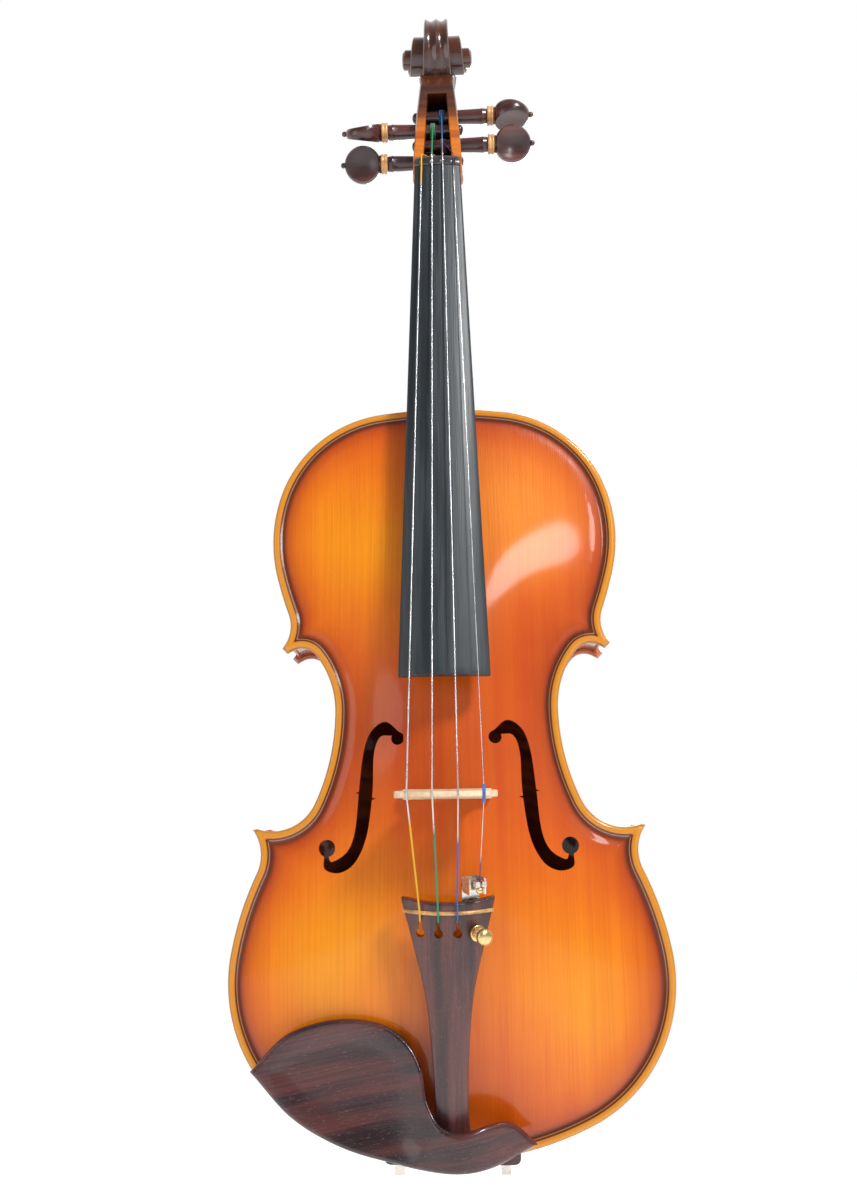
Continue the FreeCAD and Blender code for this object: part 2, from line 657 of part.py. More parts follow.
def string_tube():
    """The soft sleeve that keeps the E string from cutting into the bridge."""
    string = STRINGS[3]
    at = string_path(string)[3]
    before, after = string_path(string)[2], string_path(string)[4]
    above = at + (before - at).normalize() * 4.0
    below = at + (after - at).normalize() * 4.0
    runs = [rod(0.75, above, at), rod(0.75, at, below), Part.makeSphere(0.75, at)]
    return joined(runs).cut(string_solid(string)).cut(bridge_made())


# ---------------------------------------------------------------- tailpiece and end


def tail_section(z, half, top=None):
    top = TAIL_CROWN if top is None else top
    side = top + TAIL_RADIUS - math.sqrt(TAIL_RADIUS ** 2 - half * half)
    low = -2.5 + 5.5 * smooth((z - 20.0) / 90.0)
    points = [V(-half, low, z), V(-half, side, z), V(half, side, z), V(half, low, z)]
    edges = [Part.LineSegment(points[0], points[1]).toShape(),
             Part.Arc(points[1], V(0, top, z), points[2]).toShape(),
             Part.LineSegment(points[2], points[3]).toShape(),
             Part.LineSegment(points[3], points[0]).toShape()]
    return Part.Wire(edges)


def tail_blank():
    """Arched plate, solid at its narrow end and hollowed below towards its wide end."""
    blank = Part.makeLoft([tail_section(z, half) for z, half in TAIL_HALF_WIDTHS], True, False)
    axis_y = TAIL_CROWN + TAIL_RADIUS
    return blank.cut(rod(TAIL_RADIUS - TAIL_THICK, V(0, axis_y, 30), V(0, axis_y, 120)))


def keyhole(x):
    """Round hole with a narrow slot that holds the string."""
    hole = rod(2.0, V(x, -20, TAIL_HOLE_Z), V(x, 12, TAIL_HOLE_Z))
    return hole.fuse(box(x - 0.75, x + 0.75, -20, 12, TAIL_HOLE_Z, TAIL_HOLE_Z + TAIL_SLOT)).removeSplitter()


def tail_fret_shape():
    """The pale strip let across the top that the strings bend over."""
    band = box(-30, 30, -40, 10, TAIL_FRET_Z - 0.9, TAIL_FRET_Z + 0.9)
    inner = rod(TAIL_RADIUS - 1.2, V(0, TAIL_CROWN + TAIL_RADIUS, 0), V(0, TAIL_CROWN + TAIL_RADIUS, 120))
    outer = rod(TAIL_RADIUS + 1.0, V(0, TAIL_CROWN + TAIL_RADIUS, 0), V(0, TAIL_CROWN + TAIL_RADIUS, 120))
    half = 20.0
    return outer.cut(inner).common(band).common(box(-half, half, -40, 2, 90, 120))


def gut_line(s):
    """The straight stretch of one leg of the tail gut, from the tailpiece to its bend over the saddle."""
    x = BUTTON_NECK + GUT_RADIUS + 0.05
    start = tail_point(s * x, -4.6, 11)
    return start, V(s * x, SADDLE_TOP - GUT_RADIUS - 0.05, GUT_Z + GUT_BEND)


def tailpiece():
    blank = tail_blank()
    for x in TAIL_HOLES[:3]:
        blank = blank.cut(keyhole(x))
    blank = blank.cut(tail_fret_shape())
    whole = tail_place(blank)
    for s in (-1, 1):
        start, saddle_bend = gut_line(s)
        beyond = start + (start - saddle_bend).normalize() * 2.5
        whole = whole.cut(rod(GUT_RADIUS + 0.06, beyond, saddle_bend))
    return largest(whole.cut(tuner_local(tuner_hole())))


def tail_gut():
    """Cord from the tailpiece over the saddle, round the end button and back."""
    x = BUTTON_NECK + GUT_RADIUS + 0.05
    over = SADDLE_TOP - GUT_RADIUS - 0.05
    legs = []
    for s in (-1, 1):
        a, b = gut_line(s)
        turn_end = V(s * x, over + GUT_BEND, GUT_Z)
        middle = V(s * x, over + GUT_BEND * (1 - math.sqrt(0.5)), GUT_Z + GUT_BEND * (1 - math.sqrt(0.5)))
        edges = [Part.LineSegment(a, b).toShape(), Part.Arc(b, middle, turn_end).toShape(),
                 Part.LineSegment(turn_end, V(s * x, 0, GUT_Z)).toShape()]
        for edge in edges:
            legs.append(pipe(edge, GUT_RADIUS))
        legs.append(Part.makeSphere(GUT_RADIUS, b))
    loop = Part.makeTorus(x, GUT_RADIUS, V(0, 0, GUT_Z), V(0, 0, 1)).common(box(-9, 9, 0, 9, 0, 9))
    return joined(legs + [loop])


def pipe(edge, radius):
    """A round bar along one straight or arc edge."""
    start = edge.valueAt(edge.FirstParameter)
    way = edge.tangentAt(edge.FirstParameter)
    circle = Part.Wire(Part.Circle(start, way, radius).toShape())
    return Part.Wire(edge).makePipeShell([circle], True, False)


def gut_nuts():
    """Two small threaded nuts on the cord's ends, inside the tailpiece's lower edge."""
    made = []
    for s in (-1, 1):
        start, saddle_bend = gut_line(s)
        way = (start - saddle_bend).normalize()
        made.append(rod(GUT_RADIUS, start + way * 0.1, start + way * 1.9))
    return Part.Compound(made)


def end_button():
    dome = Part.makeSphere(30.0, V(0, 0, 29.2)).common(rod(BUTTON_RADIUS, V(0, 0, -2), V(0, 0, 0)))
    head = rod(BUTTON_RADIUS, V(0, 0, 0), V(0, 0, BUTTON_HEAD))
    neck_part = rod(BUTTON_NECK, V(0, 0, BUTTON_HEAD), V(0, 0, RIB_FACE_Z))
    shank = cone(BUTTON_SHANK, BUTTON_SHANK - 0.8, V(0, 0, RIB_FACE_Z), V(0, 0, BUTTON_REACH))
    return joined([dome, head, neck_part, shank])


def saddle_space():
    return box(-SADDLE_HALF, SADDLE_HALF, -40, -RIB_HALF, BODY_BOTTOM - 1, BODY_BOTTOM + SADDLE_DEEP)


def saddle():
    block = box(-SADDLE_HALF, SADDLE_HALF, SADDLE_TOP, -RIB_HALF, BODY_BOTTOM, BODY_BOTTOM + SADDLE_DEEP)
    crown = polygon([V(-8.5, SADDLE_TOP, 0), V(8.5, SADDLE_TOP, 0), V(SADDLE_HALF, -19.6, 0),
                     V(SADDLE_HALF, -RIB_HALF, 0), V(-SADDLE_HALF, -RIB_HALF, 0), V(-SADDLE_HALF, -19.6, 0)])
    shape = Part.Face(crown).extrude(V(0, 0, 40))
    block = block.common(shape)
    edge = [e for e in block.Edges if abs(e.CenterOfMass.y - SADDLE_TOP) < 0.01 and e.Length > 12]
    edge = [e for e in edge if e.CenterOfMass.z < BODY_BOTTOM + 2]
    return largest(block.makeFillet(1.6, edge).common(body_prism(0, -60, 0)))


# ---------------------------------------------------------------- fine tuner on the E string


TUNER_TILT = math.degrees(math.asin(TAIL_HOLES[3] / TAIL_RADIUS))
PIVOT_Y, PIVOT_Z = 1.0, 20.5  # in the tuner's frame: origin at the top of the fourth hole, -y outwards
HOOK_Y = -4.6


def tuner_local(shape):
    """From the tuner's frame, square to the tailpiece's top at the fourth hole, to the violin's."""
    shape = shape.copy()
    shape.translate(V(0, -TAIL_RADIUS, TAIL_HOLE_Z))
    shape.rotate(V(0, 0, 0), V(0, 0, 1), TUNER_TILT)
    shape.translate(V(0, TAIL_CROWN + TAIL_RADIUS, 0))
    return tail_place(shape)


def tuner_point(x, y, z):
    turn = FreeCAD.Rotation(V(0, 0, 1), TUNER_TILT)
    p = turn.multVec(V(x, y - TAIL_RADIUS, z + TAIL_HOLE_Z)) + V(0, TAIL_CROWN + TAIL_RADIUS, 0)
    return tail_point(p.x, p.y, p.z)


def tuner_hole():
    return rod(TUNER_HOLE_RADIUS, V(0, -6, 0), V(0, 16, 0))


def tuner_parts():
    """Bracket, ring nut, screw, knob, lever with its hook, pin, and the ball of the E string."""
    collar = rod(TUNER_HOLE_RADIUS - 0.05, V(0, -2.4, 0), V(0, 5.6, 0))
    under = box(-4.2, 4.2, TAIL_THICK + 0.5, TAIL_THICK + 1.4, -5.0, 16.5)
    cheeks = []
    for x in (-4.2, 3.2):
        cheeks.append(box(x, x + 1.0, TAIL_THICK + 0.5, TAIL_THICK + 2.6, 12.0, 24.0))
        cheeks.append(box(x, x + 1.0, -2.6, TAIL_THICK + 2.6, 17.0, 24.0))
    post = rod(2.6, V(0, TAIL_THICK + 0.5, 0), V(0, TAIL_THICK + 1.4, 0))
    screw_bore = rod(1.3, V(0, -10, 0), V(0, 14, 0))
    pin_hole = rod(0.78, V(-6, PIVOT_Y, PIVOT_Z), V(6, PIVOT_Y, PIVOT_Z))
    bracket = joined([collar, post, under] + cheeks).cut(screw_bore).cut(pin_hole)
    ring_nut = rod(3.6, V(0, -2.0, 0), V(0, -0.4, 0)).cut(rod(TUNER_HOLE_RADIUS, V(0, -4, 0), V(0, 2, 0)))
    screw = rod(1.22, V(0, -8.4, 0), V(0, 8.0, 0))
    knob = rod(3.6, V(0, -11.4, 0), V(0, -7.9, 0)).fuse(rod(2.2, V(0, -8.0, 0), V(0, -6.2, 0)))
    knob = knob.cut(rod(1.25, V(0, -8.43, 0), V(0, -4, 0)))
    arm = box(-1.9, 1.9, 8.4, 9.6, -2.2, 21.5)
    stem = box(-2.6, 2.6, -0.8, 9.6, 18.9, 22.1)
    neck_part = box(-2.6, 2.6, -3.6, -0.6, 21.0, 22.1)
    prongs = [box(x, x + 2.0, -6.6, -3.4, 21.0, 23.4) for x in (-2.6, 0.6)]
    lever = joined([arm, stem, neck_part] + prongs).cut(pin_hole).cut(box(-0.6, 0.6, -9, -3.0, 15, 30))
    pin = rod(0.72, V(-4.4, PIVOT_Y, PIVOT_Z), V(4.4, PIVOT_Y, PIVOT_Z))
    ball = Part.makeSphere(1.6, V(0, HOOK_Y, 19.35))
    made = {"tuner_bracket": bracket, "tuner_ring_nut": ring_nut, "tuner_screw": screw, "tuner_knob": knob,
            "tuner_lever": lever, "tuner_pin": pin, "e_string_ball": ball}
    return {name: tuner_local(shape) for name, shape in made.items()}


# ---------------------------------------------------------------- chin rest


def rest_top(x, z):
    """y of the chin rest's upper face: a dish on the left, rising to an arch over the tailpiece."""
    dish = 0.0021 * (x + 48.0) ** 2 + 0.0016 * (z - 52.0) ** 2
    arch_over = 11.0 * math.exp(-(((x - 5.0) / 20.0) ** 2))
    fall = 3.0 * smooth((x - 10.0) / 28.0) + 3.0 * smooth((-62.0 - x) / 28.0)
    return -(30.0 + min(dish, 5.0) + arch_over - fall)


def rest_space(drop, reach):
    rows = []
    for i in range(29):
        x = -100.0 + 150.0 * i / 28
        rows.append([V(x, rest_top(x, z) + drop, z) for z in [-4.0 + 84.0 * j / 16 for j in range(17)]])
    surface = Part.BSplineSurface()
    surface.interpolate(rows)
    return surface.toShape().extrude(V(0, reach, 0))


def chin_rest():
    """Rosewood plate over the end of the tailpiece, on two feet."""
    curves = [spline_wire([V(x, 0, z) for x, z in line]) for line in (REST_OUTLINE, REST_EDGE)]
    wire = Part.Wire(curves)
    blank = prism(wire, -70, 0)
    plate_part = blank.common(rest_space(0.0, REST_THICK))
    feet = []
    for s in (-1, 1):
        ends = sorted((s * FOOT_X[0], s * FOOT_X[1]))
        foot = box(ends[0], ends[1], -60, -RIB_HALF - EDGE - CORK, 8.6, 19.5)
        foot = foot.common(rest_space(REST_THICK - 1.5, 60))
        feet.append(foot)
    whole = joined([plate_part] + feet)
    for s in (-1, 1):
        whole = whole.cut(post_tab(s))
    return largest(whole)


def post_tab(s):
    """The flat tab of a clamp post, let into the foot of the chin rest."""
    return box(s * POST_X - 2.2, s * POST_X + 2.2, -27.0, -25.4, POST_Z - 1.5, 15.0)


def clamp_posts():
    posts = []
    for s in (-1, 1):
        post = rod(POST_RADIUS, V(s * POST_X, -26.0, POST_Z), V(s * POST_X, -BARREL_HALF + 6.0, POST_Z))
        posts.append(joined([post, post_tab(s)]))
    return Part.Compound(posts)


def barrel(s):
    """Turnbuckle: a round nut with a cross hole for its key, on the posts at each end."""
    outside = rod(BARREL_RADIUS, V(s * POST_X, -BARREL_HALF, POST_Z), V(s * POST_X, BARREL_HALF, POST_Z))
    bore = rod(POST_RADIUS + 0.06, V(s * POST_X, -20, POST_Z), V(s * POST_X, 20, POST_Z))
    key_holes = rod(KEY_HOLE_RADIUS, V(s * POST_X, -3.0, POST_Z - 6), V(s * POST_X, -3.0, POST_Z + 6))
    return outside.cut(bore).cut(key_holes)


def clamp_foot():
    """Bent plate under the back edge, with a threaded post up into each barrel."""
    y_pad = RIB_HALF + EDGE + CORK
    y0, y1 = y_pad + CLAMP_GAP, y_pad + CLAMP_GAP + 1.6
    bar = box(-POST_X - 3, POST_X + 3, y0, y1, POST_Z - 2.4, POST_Z + 2.4)
    tabs = [box(s * POST_X - 5.5, s * POST_X + 5.5, y0, y1, POST_Z, 14.2) for s in (-1, 1)]
    posts = [rod(POST_RADIUS, V(s * POST_X, 0.0, POST_Z), V(s * POST_X, y_pad + 1.0, POST_Z))
             for s in (-1, 1)]
    return joined([bar] + tabs + posts)


def rest_corks():
    pads = []
    for s in (-1, 1):
        ends = sorted((s * FOOT_X[0], s * FOOT_X[1]))
        pad = box(ends[0], ends[1], -RIB_HALF - EDGE - CORK, -RIB_HALF - EDGE + 0.1, 9.6, 18.5)
        pads.append(largest(pad.common(body_prism(0, -60, 0)).common(arch_solid(-1, ARCH_TOP, 0.0, 60))))
    return pads


def clamp_corks():
    y0 = RIB_HALF + EDGE + CLAMP_GAP
    return [box(s * POST_X - 5.5, s * POST_X + 5.5, y0, y0 + CORK, 9.6, 14.2) for s in (-1, 1)]


# ---------------------------------------------------------------- assembly


def build():
    nodes = {}
    neck_made = neck()
    button = end_button()
    top, hollow_top, purfling_top = plate(-1, ARCH_TOP)
    back, hollow_back, purfling_back = plate(1, ARCH_BACK)
    nodes["back_plate"] = largest(back)
    for s in (-1, 1):
        top = top.cut(sound_hole(s))
    clearances = [neck_made, saddle_space()]
    for cutter in clearances:
        top = top.cut(cutter)
        purfling_top = purfling_top.cut(cutter)
    nodes["top_plate"] = largest(top)
    nodes["purfling_top"] = purfling_top
    nodes["purfling_back"] = purfling_back
    nodes["neck"] = neck_made
    nodes["end_button"] = button
    nodes.update(ribs([neck_made, button]))
    blocks_made = blocks([neck_made, button])
    nodes.update(blocks_made)
    nodes["linings_top"] = linings(blocks_made, neck_made, -1)
    nodes["linings_back"] = linings(blocks_made, neck_made, 1)
    nodes["bass_bar"] = bass_bar(hollow_top)
    nodes["sound_post"] = sound_post(hollow_top, hollow_back)
    nodes["fingerboard"] = fingerboard()
    nodes["nut"] = nut()
    nodes["saddle"] = saddle()
    nodes["bridge"] = bridge_made()
    nodes["tailpiece"] = tailpiece()
    nodes["tailpiece_fret"] = largest(tail_place(tail_fret_shape()))
    nodes["tail_gut"] = tail_gut()
    nodes["tail_gut_nuts"] = gut_nuts()
    for string in STRINGS:
        name = string[0]
        nodes[f"string_{name}"] = string_solid(string)
        nodes[f"winding_{name}"] = peg_winding(string)
        nodes[f"peg_{name}"] = peg(string)
        nodes[f"peg_collar_{name}"] = place_peg(peg_collar_shape(), string)
    nodes["string_balls"] = string_balls()
    nodes["string_tube_e"] = string_tube()
    nodes.update(tuner_parts())
    nodes["chin_rest"] = chin_rest()
    nodes["chin_rest_corks"] = Part.Compound(rest_corks())
    nodes["clamp_posts"] = clamp_posts()
    nodes["barrel_left"] = barrel(-1)
    nodes["barrel_right"] = barrel(1)
    nodes["clamp_foot"] = clamp_foot()
    nodes["clamp_corks"] = Part.Compound(clamp_corks())
    return nodes


def main():
    os.makedirs("parts", exist_ok=True)
    for name, shape in build().items():
        solids = shape.Solids
        good = all(s.isValid() and s.Volume > 0 for s in solids) and bool(solids)
        volume = sum(s.Volume for s in solids)
        print(f"{name}: {len(solids)} solids, {volume:.1f} mm3{'' if good else '  BAD'}")
        whole = solids[0] if len(solids) == 1 else Part.Compound(solids)
        whole.exportStep(f"parts/{name}.step")


main()
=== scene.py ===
import math

import bmesh
import bpy
import numpy as np
from mathutils import Matrix, Vector
from mathutils.geometry import delaunay_2d_cdt


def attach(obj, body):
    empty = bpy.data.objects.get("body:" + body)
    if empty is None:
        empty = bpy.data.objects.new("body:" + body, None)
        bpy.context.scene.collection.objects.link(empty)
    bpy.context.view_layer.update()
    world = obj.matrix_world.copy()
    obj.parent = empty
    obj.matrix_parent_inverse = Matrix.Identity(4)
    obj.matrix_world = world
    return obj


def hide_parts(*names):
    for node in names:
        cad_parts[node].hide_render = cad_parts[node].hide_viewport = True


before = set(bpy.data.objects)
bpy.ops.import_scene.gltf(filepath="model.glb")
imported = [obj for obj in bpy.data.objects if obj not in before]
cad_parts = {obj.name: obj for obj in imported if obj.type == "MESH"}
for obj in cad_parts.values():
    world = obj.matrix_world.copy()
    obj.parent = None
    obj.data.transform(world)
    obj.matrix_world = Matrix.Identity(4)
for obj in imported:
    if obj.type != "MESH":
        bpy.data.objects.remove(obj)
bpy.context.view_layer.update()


# ------------------------------------------------------------------ camera
# The violin stands upright and is seen from the front, from the height of its lower bouts,
# looking slightly up.
camera_data = bpy.data.cameras.new("camera")
camera_data.lens = 36.0
camera_data.sensor_width = 36.0
camera_data.clip_start = 0.01
camera = bpy.data.objects.new("camera", camera_data)
bpy.context.scene.collection.objects.link(camera)
camera_right = Vector((0.99912, 0.0399, -0.0130)).normalized()
camera_forward = Vector((-0.0366, 0.98016, 0.19477)).normalized()
camera_up = camera_right.cross(camera_forward).normalized()
camera.matrix_world = Matrix.Translation((0.01369, -0.59456, 0.14875)) @ Matrix((
    (camera_right.x, camera_up.x, -camera_forward.x, 0),
    (camera_right.y, camera_up.y, -camera_forward.y, 0),
    (camera_right.z, camera_up.z, -camera_forward.z, 0),
    (0, 0, 0, 1)))
bpy.context.scene.camera = camera
bpy.context.scene.view_settings.view_transform = "Standard"


# ------------------------------------------------------------------ studio
# A plain white floor well below the instrument, a white room, one large soft key lamp high on the right
# in front, and weak lamps that fill the left side and the back.
def make_mesh(name, points, faces, scale=0.001, angle=35.0):
    """A mesh object from points in millimetres, smooth except where its faces meet at more than the angle."""
    mesh = bpy.data.meshes.new(name)
    mesh.from_pydata([tuple(p) for p in (np.asarray(points, float) * scale)], [], [tuple(f) for f in faces])
    mesh.validate()
    mesh.shade_smooth()
    mesh.set_sharp_from_angle(angle=math.radians(angle))
    piece = bpy.data.objects.new(name, mesh)
    bpy.context.scene.collection.objects.link(piece)
    return piece


floor = make_mesh("floor", [(-4, -4, -0.34), (4, -4, -0.34), (4, 4, -0.34), (-4, 4, -0.34)], [(0, 1, 2, 3)],
                  1.0)
floor_paint = bpy.data.materials.new("floor_paint")
floor_paint.use_nodes = True
floor_shader = floor_paint.node_tree.nodes["Principled BSDF"]
floor_shader.inputs["Base Color"].default_value = (0.86, 0.86, 0.86, 1)
floor_shader.inputs["Roughness"].default_value = 0.9
floor_shader.inputs["Emission Color"].default_value = (1, 1, 1, 1)
floor_shader.inputs["Emission Strength"].default_value = 0.45
floor.data.materials.append(floor_paint)

room = bpy.data.worlds.new("room")
room.use_nodes = True
# white behind the instrument, a grey room in front of it
heading = room.node_tree.nodes.new("ShaderNodeTexCoord")
parts = room.node_tree.nodes.new("ShaderNodeSeparateXYZ")
fade = room.node_tree.nodes.new("ShaderNodeMapRange")
fade.interpolation_type = "SMOOTHSTEP"
for key, value in ((1, -0.25), (2, 0.45), (3, 0.30), (4, 1.0)):
    fade.inputs[key].default_value = value
room.node_tree.links.new(heading.outputs["Generated"], parts.inputs[0])
room.node_tree.links.new(parts.outputs[1], fade.inputs[0])
room.node_tree.links.new(fade.outputs[0], room.node_tree.nodes["Background"].inputs["Strength"])
room.node_tree.nodes["Background"].inputs["Color"].default_value = (1.0, 1.0, 1.0, 1)
bpy.context.scene.world = room
for lamp_name, lamp_place, lamp_size, lamp_power in (
        ("key_lamp", (0.75, -0.95, 1.25), 0.30, 22.0),
        ("window_lamp", (0.46, -1.05, 0.60), 0.20, 1.2),
        ("fill_lamp", (-1.1, -0.7, 0.35), 0.8, 2.5),
        ("back_lamp", (0.3, 1.3, 0.9), 0.8, 10.0)):
    lamp_data = bpy.data.lights.new(lamp_name, "AREA")
    lamp_data.shape = "DISK"
    lamp_data.size = lamp_size
    lamp_data.energy = lamp_power
    lamp = bpy.data.objects.new(lamp_name, lamp_data)
    bpy.context.scene.collection.objects.link(lamp)
    aim = Vector((0, 0, 0.28)) - Vector(lamp_place)
    lamp.matrix_world = Matrix.Translation(lamp_place) @ aim.to_track_quat("-Z", "Y").to_matrix().to_4x4()


# ------------------------------------------------------------------ belly
# Two wedges of straight-grained spruce, 4 mm at the edge and arched 16 mm, with a rounded rim, a shallow
# channel inside it and two sound holes. Oil varnish: golden in the bouts, red-brown towards the rim.
BODY_LOW = 6.5
BODY_LENGTH = 355.0
RIB_FACE = 15.5
WAIST, WAIST_UP = 53.7, 203.0
LOWER_BOUT = [(145.0, 26.1), (70.7, 73.8), (142.8, 15.4), (-19.7, 62.3)]
UPPER_BOUT = [(-228.6, 7.9), (-61.1, 63.6), (-74.7, 33.0), (-209.2, 5.3), (17.0, 59.8)]
WAIST_TO_UPPER = [(-44.7, 38.3), (-8.7, 76.2), (-23.7, 9.1)]
WAIST_TO_LOWER = [(104.8, 24.6), (22.2, 84.6)]


def bend_points(x, up, heading, bends, inset=0.0, step=1.1):
    """Points along tangent bends of (radius, degrees), moved inset to the left of the way along them."""
    angle = math.radians(heading)
    found = [(x - inset * math.sin(angle), up + inset * math.cos(angle))]
    for radius, degrees in bends:
        turn = math.copysign(math.radians(degrees), radius)
        cx, cz = x - radius * math.sin(angle), up + radius * math.cos(angle)
        count = max(3, int(abs(radius * turn) / step))
        for k in range(1, count + 1):
            a = angle + turn * k / count
            found.append((cx + (radius - inset) * math.sin(a), cz - (radius - inset) * math.cos(a)))
        angle += turn
        x, up = cx + radius * math.sin(angle), cz - radius * math.cos(angle)
    return np.array(found)


def body_outline():
    """The right half from bottom to top, then its mirror, as a closed run of (x, z) in millimetres."""
    right = np.vstack([
        bend_points(0, 0, 0, LOWER_BOUT),
        bend_points(WAIST, WAIST_UP, -90, WAIST_TO_LOWER)[::-1],
        bend_points(WAIST, WAIST_UP, 90, WAIST_TO_UPPER)[1:],
        bend_points(0, BODY_LENGTH, 0, UPPER_BOUT)[::-1]])
    right[:, 1] += BODY_LOW
    left = right[1:-1][::-1] * (-1, 1)
    return np.vstack([right, left])


def distance_to(loop, points):
    """Distance from each point to a closed run of points."""
    a = loop
    ab = np.roll(loop, -1, 0) - a
    squared = np.maximum((ab ** 2).sum(1), 1e-12)
    found = np.empty(len(points))
    for k in range(0, len(points), 2000):
        p = points[k:k + 2000]
        ap = p[:, None] - a[None]
        t = np.clip((ap * ab).sum(2) / squared, 0, 1)
        found[k:k + 2000] = np.sqrt(((ap - t[..., None] * ab) ** 2).sum(2).min(1))
    return found


def inside(loop, points):
    """Whether each point is inside a closed run of points."""
    a, b = loop, np.roll(loop, -1, 0)
    found = np.zeros(len(points), bool)
    for k in range(0, len(points), 4000):
        x, z = points[k:k + 4000, 0][:, None], points[k:k + 4000, 1][:, None]
        crosses = (a[:, 1] > z) != (b[:, 1] > z)
        with np.errstate(divide="ignore", invalid="ignore"):
            at = a[:, 0] + (z - a[:, 1]) * (b[:, 0] - a[:, 0]) / (b[:, 1] - a[:, 1])
        found[k:k + 4000] = (crosses & (x < at)).sum(1) % 2 == 1
    return found


def inset_loop(loop, depth):
    """The run moved inwards; points that the corners swallow are left out."""
    ahead = np.roll(loop, -1, 0) - np.roll(loop, 1, 0)
    length = np.maximum(np.linalg.norm(ahead, axis=1), 1e-9)[:, None]
    normal = np.stack([-ahead[:, 1], ahead[:, 0]], 1) / length
    moved = loop + normal * depth
    return moved, distance_to(loop, moved) > depth - 0.02


def carve(name, rim, holes, top, under, step, rings, facing=-1):
    """A carved board between its top and its underside, each given as y of (x, z, distance to the rim).

    Rows of points follow the rim at the distances in rings, so that its rounding is smooth.
    """
    points, edges = [], []
    for loop in [rim] + holes:
        start = len(points)
        points.extend(loop.tolist())
        edges.extend((start + i, start + (i + 1) % len(loop)) for i in range(len(loop)))
    extra = []
    for depth in rings:
        moved, good = inset_loop(rim, depth)
        extra.append(moved[good])
    low, high = rim.min(0), rim.max(0)
    grid = np.array([(x + (0.5 * step if row % 2 else 0), z)
                     for row, z in enumerate(np.arange(low[1], high[1], step * 0.87))
                     for x in np.arange(low[0], high[0], step)])
    grid = grid[inside(rim, grid)]
    grid = grid[distance_to(rim, grid) > (rings[-1] if rings else 0) + 0.6 * step]
    extra = np.vstack(extra + [grid])
    for loop in holes:
        extra = extra[(distance_to(loop, extra) > 0.45) & ~inside(loop, extra)]
    points.extend(extra.tolist())
    flat, _, triangles, *_ = delaunay_2d_cdt([Vector(p) for p in points], edges, [], 0, 1e-5)
    flat = np.array([tuple(v) for v in flat])
    triangles = np.array(triangles)
    middle = flat[triangles].mean(1)
    keep = inside(rim, middle)
    for loop in holes:
        keep &= ~inside(loop, middle)
    triangles = triangles[keep]
    used, triangles = np.unique(triangles, return_inverse=True)
    triangles = triangles.reshape(-1, 3)
    flat = flat[used]
    a, b, c = (flat[triangles[:, i]] for i in range(3))
    turned = (b[:, 0] - a[:, 0]) * (c[:, 1] - a[:, 1]) - (b[:, 1] - a[:, 1]) * (c[:, 0] - a[:, 0])
    triangles[turned < 0] = triangles[turned < 0][:, ::-1]
    if facing > 0:
        triangles = triangles[:, ::-1]
    depth = distance_to(rim, flat)
    y_top, y_under = top(flat[:, 0], flat[:, 1], depth), under(flat[:, 0], flat[:, 1], depth)
    count = len(flat)
    corners = [(x, y, z) for (x, z), y in zip(flat, y_top)] + [(x, y, z) for (x, z), y in zip(flat, y_under)]
    faces = [tuple(t) for t in triangles] + [tuple(t[::-1] + count) for t in triangles]
    single = {}
    for t in triangles:
        for i, j in ((t[0], t[1]), (t[1], t[2]), (t[2], t[0])):
            single[(i, j)] = True
    for i, j in single:
        if (j, i) not in single:
            faces.append((j, i, i + count, j + count))
    piece = make_mesh(name, corners, faces)
    weld(piece, 0.00001)
    store(piece, "rim", distance_to(rim, mesh_points(piece)[:, [0, 2]]))
    return piece


def weld(piece, reach, angle=35.0):
    made = bmesh.new()
    made.from_mesh(piece.data)
    bmesh.ops.remove_doubles(made, verts=made.verts, dist=reach)
    bmesh.ops.dissolve_degenerate(made, edges=made.edges, dist=reach / 2)
    made.to_mesh(piece.data)
    made.free()
    piece.data.shade_smooth()
    piece.data.set_sharp_from_angle(angle=math.radians(angle))


def mesh_points(piece):
    """The mesh's points in millimetres."""
    found = np.empty(len(piece.data.vertices) * 3, np.float32)
    piece.data.vertices.foreach_get("co", found)
    return found.reshape(-1, 3) * 1000.0


def store(piece, name, values):
    layer = piece.data.attributes.new(name, "FLOAT", "POINT")
    layer.data.foreach_set("value", np.asarray(values, np.float32))


def smooth(t):
    t = np.clip(t, 0.0, 1.0)
    return t * t * (3 - 2 * t)


def arch(x, z, rise):
    """Height over the ribs of a plate's outside, without its rim."""
    up = z - BODY_LOW
    along = np.clip((up - 5.0) / (BODY_LENGTH - 10.0), 0, 1)
    long_arch = np.maximum(0.0, 1 - np.abs(2 * along - 1) ** 2.7) ** 1.25
    low_half = 99.5 * np.sqrt(np.maximum(0.02, 1 - ((76.5 - up) / 79.0) ** 2))
    high_half = 81.0 * np.sqrt(np.maximum(0.02, 1 - ((up - 286.0) / 72.0) ** 2))
    to_waist = 99.5 + (WAIST - 3.5 - 99.5) * smooth((up - 76.5) / (WAIST_UP - 76.5))
    from_waist = WAIST - 3.5 + (81.0 - WAIST + 3.5) * smooth((up - WAIST_UP) / (286.0 - WAIST_UP))
    half = np.where(up < 76.5, low_half, np.where(up < WAIST_UP, to_waist,
                                                  np.where(up < 286.0, from_waist, high_half)))
    across = np.minimum(1.0, np.abs(x) / half)
    return 4.0 + (rise - 4.0) * long_arch * (0.5 + 0.5 * np.cos(np.pi * across)) ** 0.92


def carved_height(x, z, rim_depth, rise):
    """The arch with its rounded rim and the channel inside it."""
    rounded = 2.0 + np.sqrt(np.maximum(0.0, 4.0 - np.maximum(0.0, 2.0 - rim_depth) ** 2))
    channel = 0.95 * np.exp(-((rim_depth - 6.2) / 2.6) ** 2) * smooth((rim_depth - 1.5) / 2.0)
    return np.where(rim_depth < 2.0, rounded, arch(x, z, rise) - channel)


